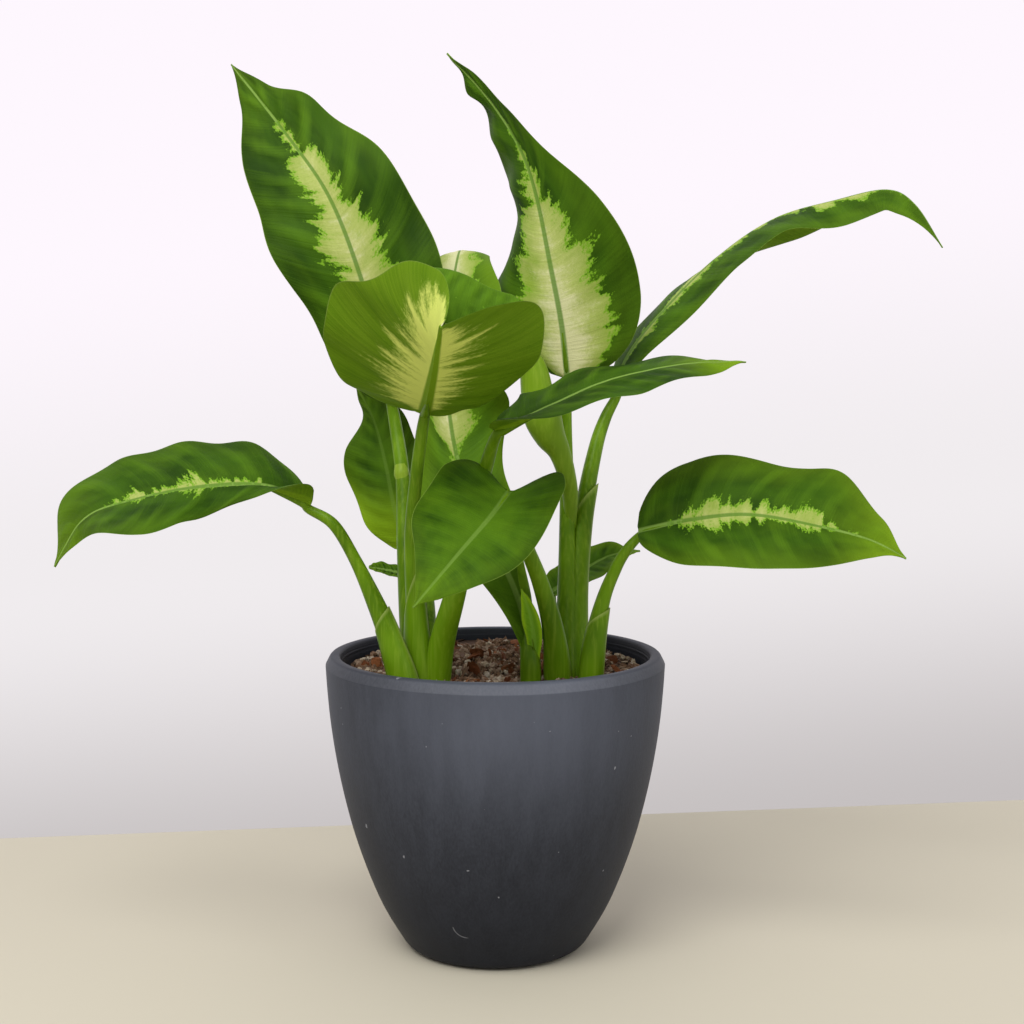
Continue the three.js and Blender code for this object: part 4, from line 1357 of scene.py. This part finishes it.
# %% leaf formula
BLADE_HALF = 0.4
SLOPE_STEP = 0.004
JUST_LEFT = -1e-9
ROWS_TO_ENDS = 0.25
THIN_MARGIN = 6
RIB_WIDTH = 1.5
GROOVE_DEPTH = 0.35
RIB_DEPTH_AT_STALK = 1.3
RIB_THINNING = 1.1
QUILT_HEIGHT = 0.2
FACE_CHANGE = 40


def leaf_normal(leaf, s, a):
    """The direction off the blade: across two short steps, neither of which crosses the rib."""
    ahead, _ = blade(leaf, np.minimum(s + SLOPE_STEP, 1), a)
    behind, _ = blade(leaf, np.maximum(s - SLOPE_STEP, 0), a)
    high = np.minimum(a + SLOPE_STEP, 1)
    low = np.maximum(high - 2 * SLOPE_STEP, -1)
    right, _ = blade(leaf, s, np.where(a < 0, np.minimum(high, JUST_LEFT), high))
    left, _ = blade(leaf, s, np.where(a >= 0, np.maximum(low, 0), low))
    return unit(np.cross(right - left, ahead - behind))


def swelling(s, a):
    """How far the blade swells between its side veins: two sines along it, none at rib and margin."""
    out = np.abs(a)
    close = np.sin(2 * np.pi * (s * 11 - out * 0.5))
    wide = 0.7 * np.sin(2 * np.pi * (s * 6.3 - out * 0.3) + a)
    return (close + wide) * np.sin(np.pi * out)


def leaf_formula(leaf):
    """A closed blade: the first half of u runs over the upper face and the rest back beneath it."""

    def formula(u, v):
        upper = u < 0.5
        a = np.clip(np.where(upper, 4 * u - 1, 3 - 4 * u), -1, 1)
        s = v - ROWS_TO_ENDS * np.sin(2 * np.pi * v) / (2 * np.pi)
        middle, widths = blade(leaf, s, a)
        thin = np.sqrt(np.clip(1 - np.abs(a) ** THIN_MARGIN, 0, 1))
        near_rib = np.exp(-((widths / (RIB_WIDTH - s)) ** 2)) * leaf.get("rib", 1.0)
        swell = swelling(s, a) * leaf.get("quilt", 1.0)
        quilt = swell * QUILT_HEIGHT
        above = BLADE_HALF * thin - GROOVE_DEPTH * near_rib + quilt
        below = -BLADE_HALF * thin - (RIB_DEPTH_AT_STALK - RIB_THINNING * s) * near_rib + quilt
        face = np.where(upper, 1.0, -1.0) * np.minimum(1, (1 - np.abs(a)) * FACE_CHANGE)
        points = middle + leaf_normal(leaf, s, a) * np.where(upper, above, below)[:, None]
        left_splash, right_splash = (along(values, s) for values in leaf["splash"])
        splash = np.where(a < 0, left_splash, right_splash)
        place = np.stack([s, a, face], -1)
        size = np.stack([splash, widths, swell], -1)
        return points, {"leaf_place": place, "leaf_size": size}

    return formula


print("a blade is", 2 * BLADE_HALF, "mm thick")

# %% [markdown]
# ## Make the leaves
#
# The plant has twelve leaves, and two of them show a part that is modelled by itself: the margin
# that is turned over behind the centre leaf and the flap on the young shoot. All could be placed
# one by one, but they differ only in their lists, so one loop makes each blade and its material.

# %% make the leaves
LEAF_COLUMNS = 96
LEAF_ROWS = 110
SEED_STEP = 5
for number, (name, leaf) in enumerate(LEAVES.items()):
    leaf["line"] = Midrib(leaf["midrib"])
    piece = sheet("blade_" + name, LEAF_COLUMNS, LEAF_ROWS, leaf_formula(leaf), merge=2e-6, angle=60)
    rib, glow = leaf.get("rib", 1.0), leaf.get("glow", 0.0)
    material = leaf_material("leaf_" + name, leaf["look"], rib, float(number * SEED_STEP), glow)
    finish_piece(piece, material, ["leaf_" + name] if "leaf_" + name in NODES else [])
    print(name, len(piece.data.polygons), "faces,", round(leaf["line"].length), "mm long")

# %% [markdown]
# ## Ground and backdrop
#
# The plant needs something to stand on and something behind it, so that it casts a shadow and is
# seen as a whole. They are only stage and not part of the object. A ground can be endless, but
# this one ends at a slanting edge, and the backdrop gives off its own light, so that its shade
# does not depend on the lamps.

# %% ground and backdrop
GROUND_EDGE = ((-0.294, 0.174), (0.337, 0.260))
GROUND_SIZE = 4
GROUND_LEVEL = -0.0002
GROUND_COLOUR = srgb(200, 194, 176)
GROUND_SHINE = 0.1
BACKDROP_SIZE = 8
BACKDROP_PLACE = (0, 1.6, 0)
BACKDROP_HIGH = srgb(254, 247, 254)
BACKDROP_MIDDLE = srgb(240, 236, 238)
BACKDROP_FOOT = srgb(196, 191, 191)
BACKDROP_SLANT = 0.11
BACKDROP_LEFT = 0.72


def plane(name, size, place, turn, shine):
    bpy.ops.mesh.primitive_plane_add(size=size, location=place, rotation=turn)
    made = bpy.context.active_object
    made.name = name
    material, tree, shader = new_material(name, 0.9, shine)
    made.data.materials.append(material)
    return tree, shader


(x0, y0), (x1, y1) = GROUND_EDGE
edge_turn = math.atan2(y1 - y0, x1 - x0)
half_ground = GROUND_SIZE / 2
middle_x = (x0 + x1) / 2 + half_ground * math.sin(edge_turn)
middle_y = (y0 + y1) / 2 - half_ground * math.cos(edge_turn)
ground_place = (middle_x, middle_y, GROUND_LEVEL)
tree, shader = plane("table", GROUND_SIZE, ground_place, (0, 0, edge_turn), GROUND_SHINE)
plug(tree, GROUND_COLOUR, shader.inputs["Base Color"])

upright = (math.radians(90), 0, 0)
tree, shader = plane("wall", BACKDROP_SIZE, BACKDROP_PLACE, upright, 0.0)
x, y, z = parts_of(tree, object_place(tree))
# the backdrop's own glow is painted light: lightest high up on the left, with painted shade toward its
# foot and its right
level = y - (x + BACKDROP_LEFT) * BACKDROP_SLANT
backdrop = mix(tree, level.ramp(-0.55, -0.05), BACKDROP_FOOT, BACKDROP_MIDDLE)
backdrop = mix(tree, level.ramp(-0.05, 0.45), backdrop, BACKDROP_HIGH)
plug(tree, srgb(0, 0, 0), shader.inputs["Base Color"])
plug(tree, backdrop, shader.inputs["Emission Color"])
shader.inputs["Emission Strength"].default_value = 1.0
print("the ground's far edge is turned by", round(math.degrees(edge_turn), 1), "degrees")

# %% [markdown]
# ## Light
#
# The plant stands in soft daylight from the left and above. A sun lamp would cast hard shadows,
# and a picture of a sky would be one more file. So one large warm area lamp is the daylight, a
# weak one on the right opens the shadows, and an even sky fills the rest.

# %% lights
LIGHT_AIM = (0, 0, 0.22)
SKY_COLOUR = (0.93, 0.92, 0.95, 1)
SKY_STRENGTH = 0.5


def soft_light(name, size, power, place, colour=(1, 1, 1)):
    data = bpy.data.lights.new(name, "AREA")
    data.size = size
    data.energy = power
    data.color = colour
    made = bpy.data.objects.new(name, data)
    bpy.context.scene.collection.objects.link(made)
    made.location = place
    away = np.array(place) - np.array(LIGHT_AIM)
    yaw = math.atan2(away[1], away[0]) + math.pi / 2
    pitch = math.acos(away[2] / np.linalg.norm(away))
    made.rotation_euler = (pitch, 0, yaw)
    print(name, "light:", power, "watts")


soft_light("window", 1.2, 30, (-0.45, -1.1, 1.6), (1.0, 0.985, 0.96))
soft_light("fill", 1.4, 6, (1.4, -0.8, 0.9))
world = bpy.data.worlds.new("room")
bpy.context.scene.world = world
world.use_nodes = True
sky = world.node_tree.nodes["Background"]
sky.inputs["Color"].default_value = SKY_COLOUR
sky.inputs["Strength"].default_value = SKY_STRENGTH

# %% [markdown]
# ## Camera
#
# The camera stands where the photograph was taken from. It could be moved by eye until the
# picture fits, but its place, pitch and focal length were fitted to the planter's rim, foot and
# sides, so they are three measured values.

# %% camera
CAMERA_PLACE = (0.00807, -0.780, 0.281)
CAMERA_PITCH = 5.01
SENSOR_WIDTH = 36
FOCAL_PIXELS = 1615
PHOTO_PIXELS = 1024
camera_data = bpy.data.cameras.new("camera")
camera_data.sensor_width = SENSOR_WIDTH
camera_data.lens = SENSOR_WIDTH * FOCAL_PIXELS / PHOTO_PIXELS
camera = bpy.data.objects.new("camera", camera_data)
bpy.context.scene.collection.objects.link(camera)
camera.location = CAMERA_PLACE
camera.rotation_euler = (math.radians(90 - CAMERA_PITCH), 0, 0)
bpy.context.scene.camera = camera
bpy.context.scene.view_settings.view_transform = "Standard"
print("lens:", round(camera_data.lens, 1), "mm")
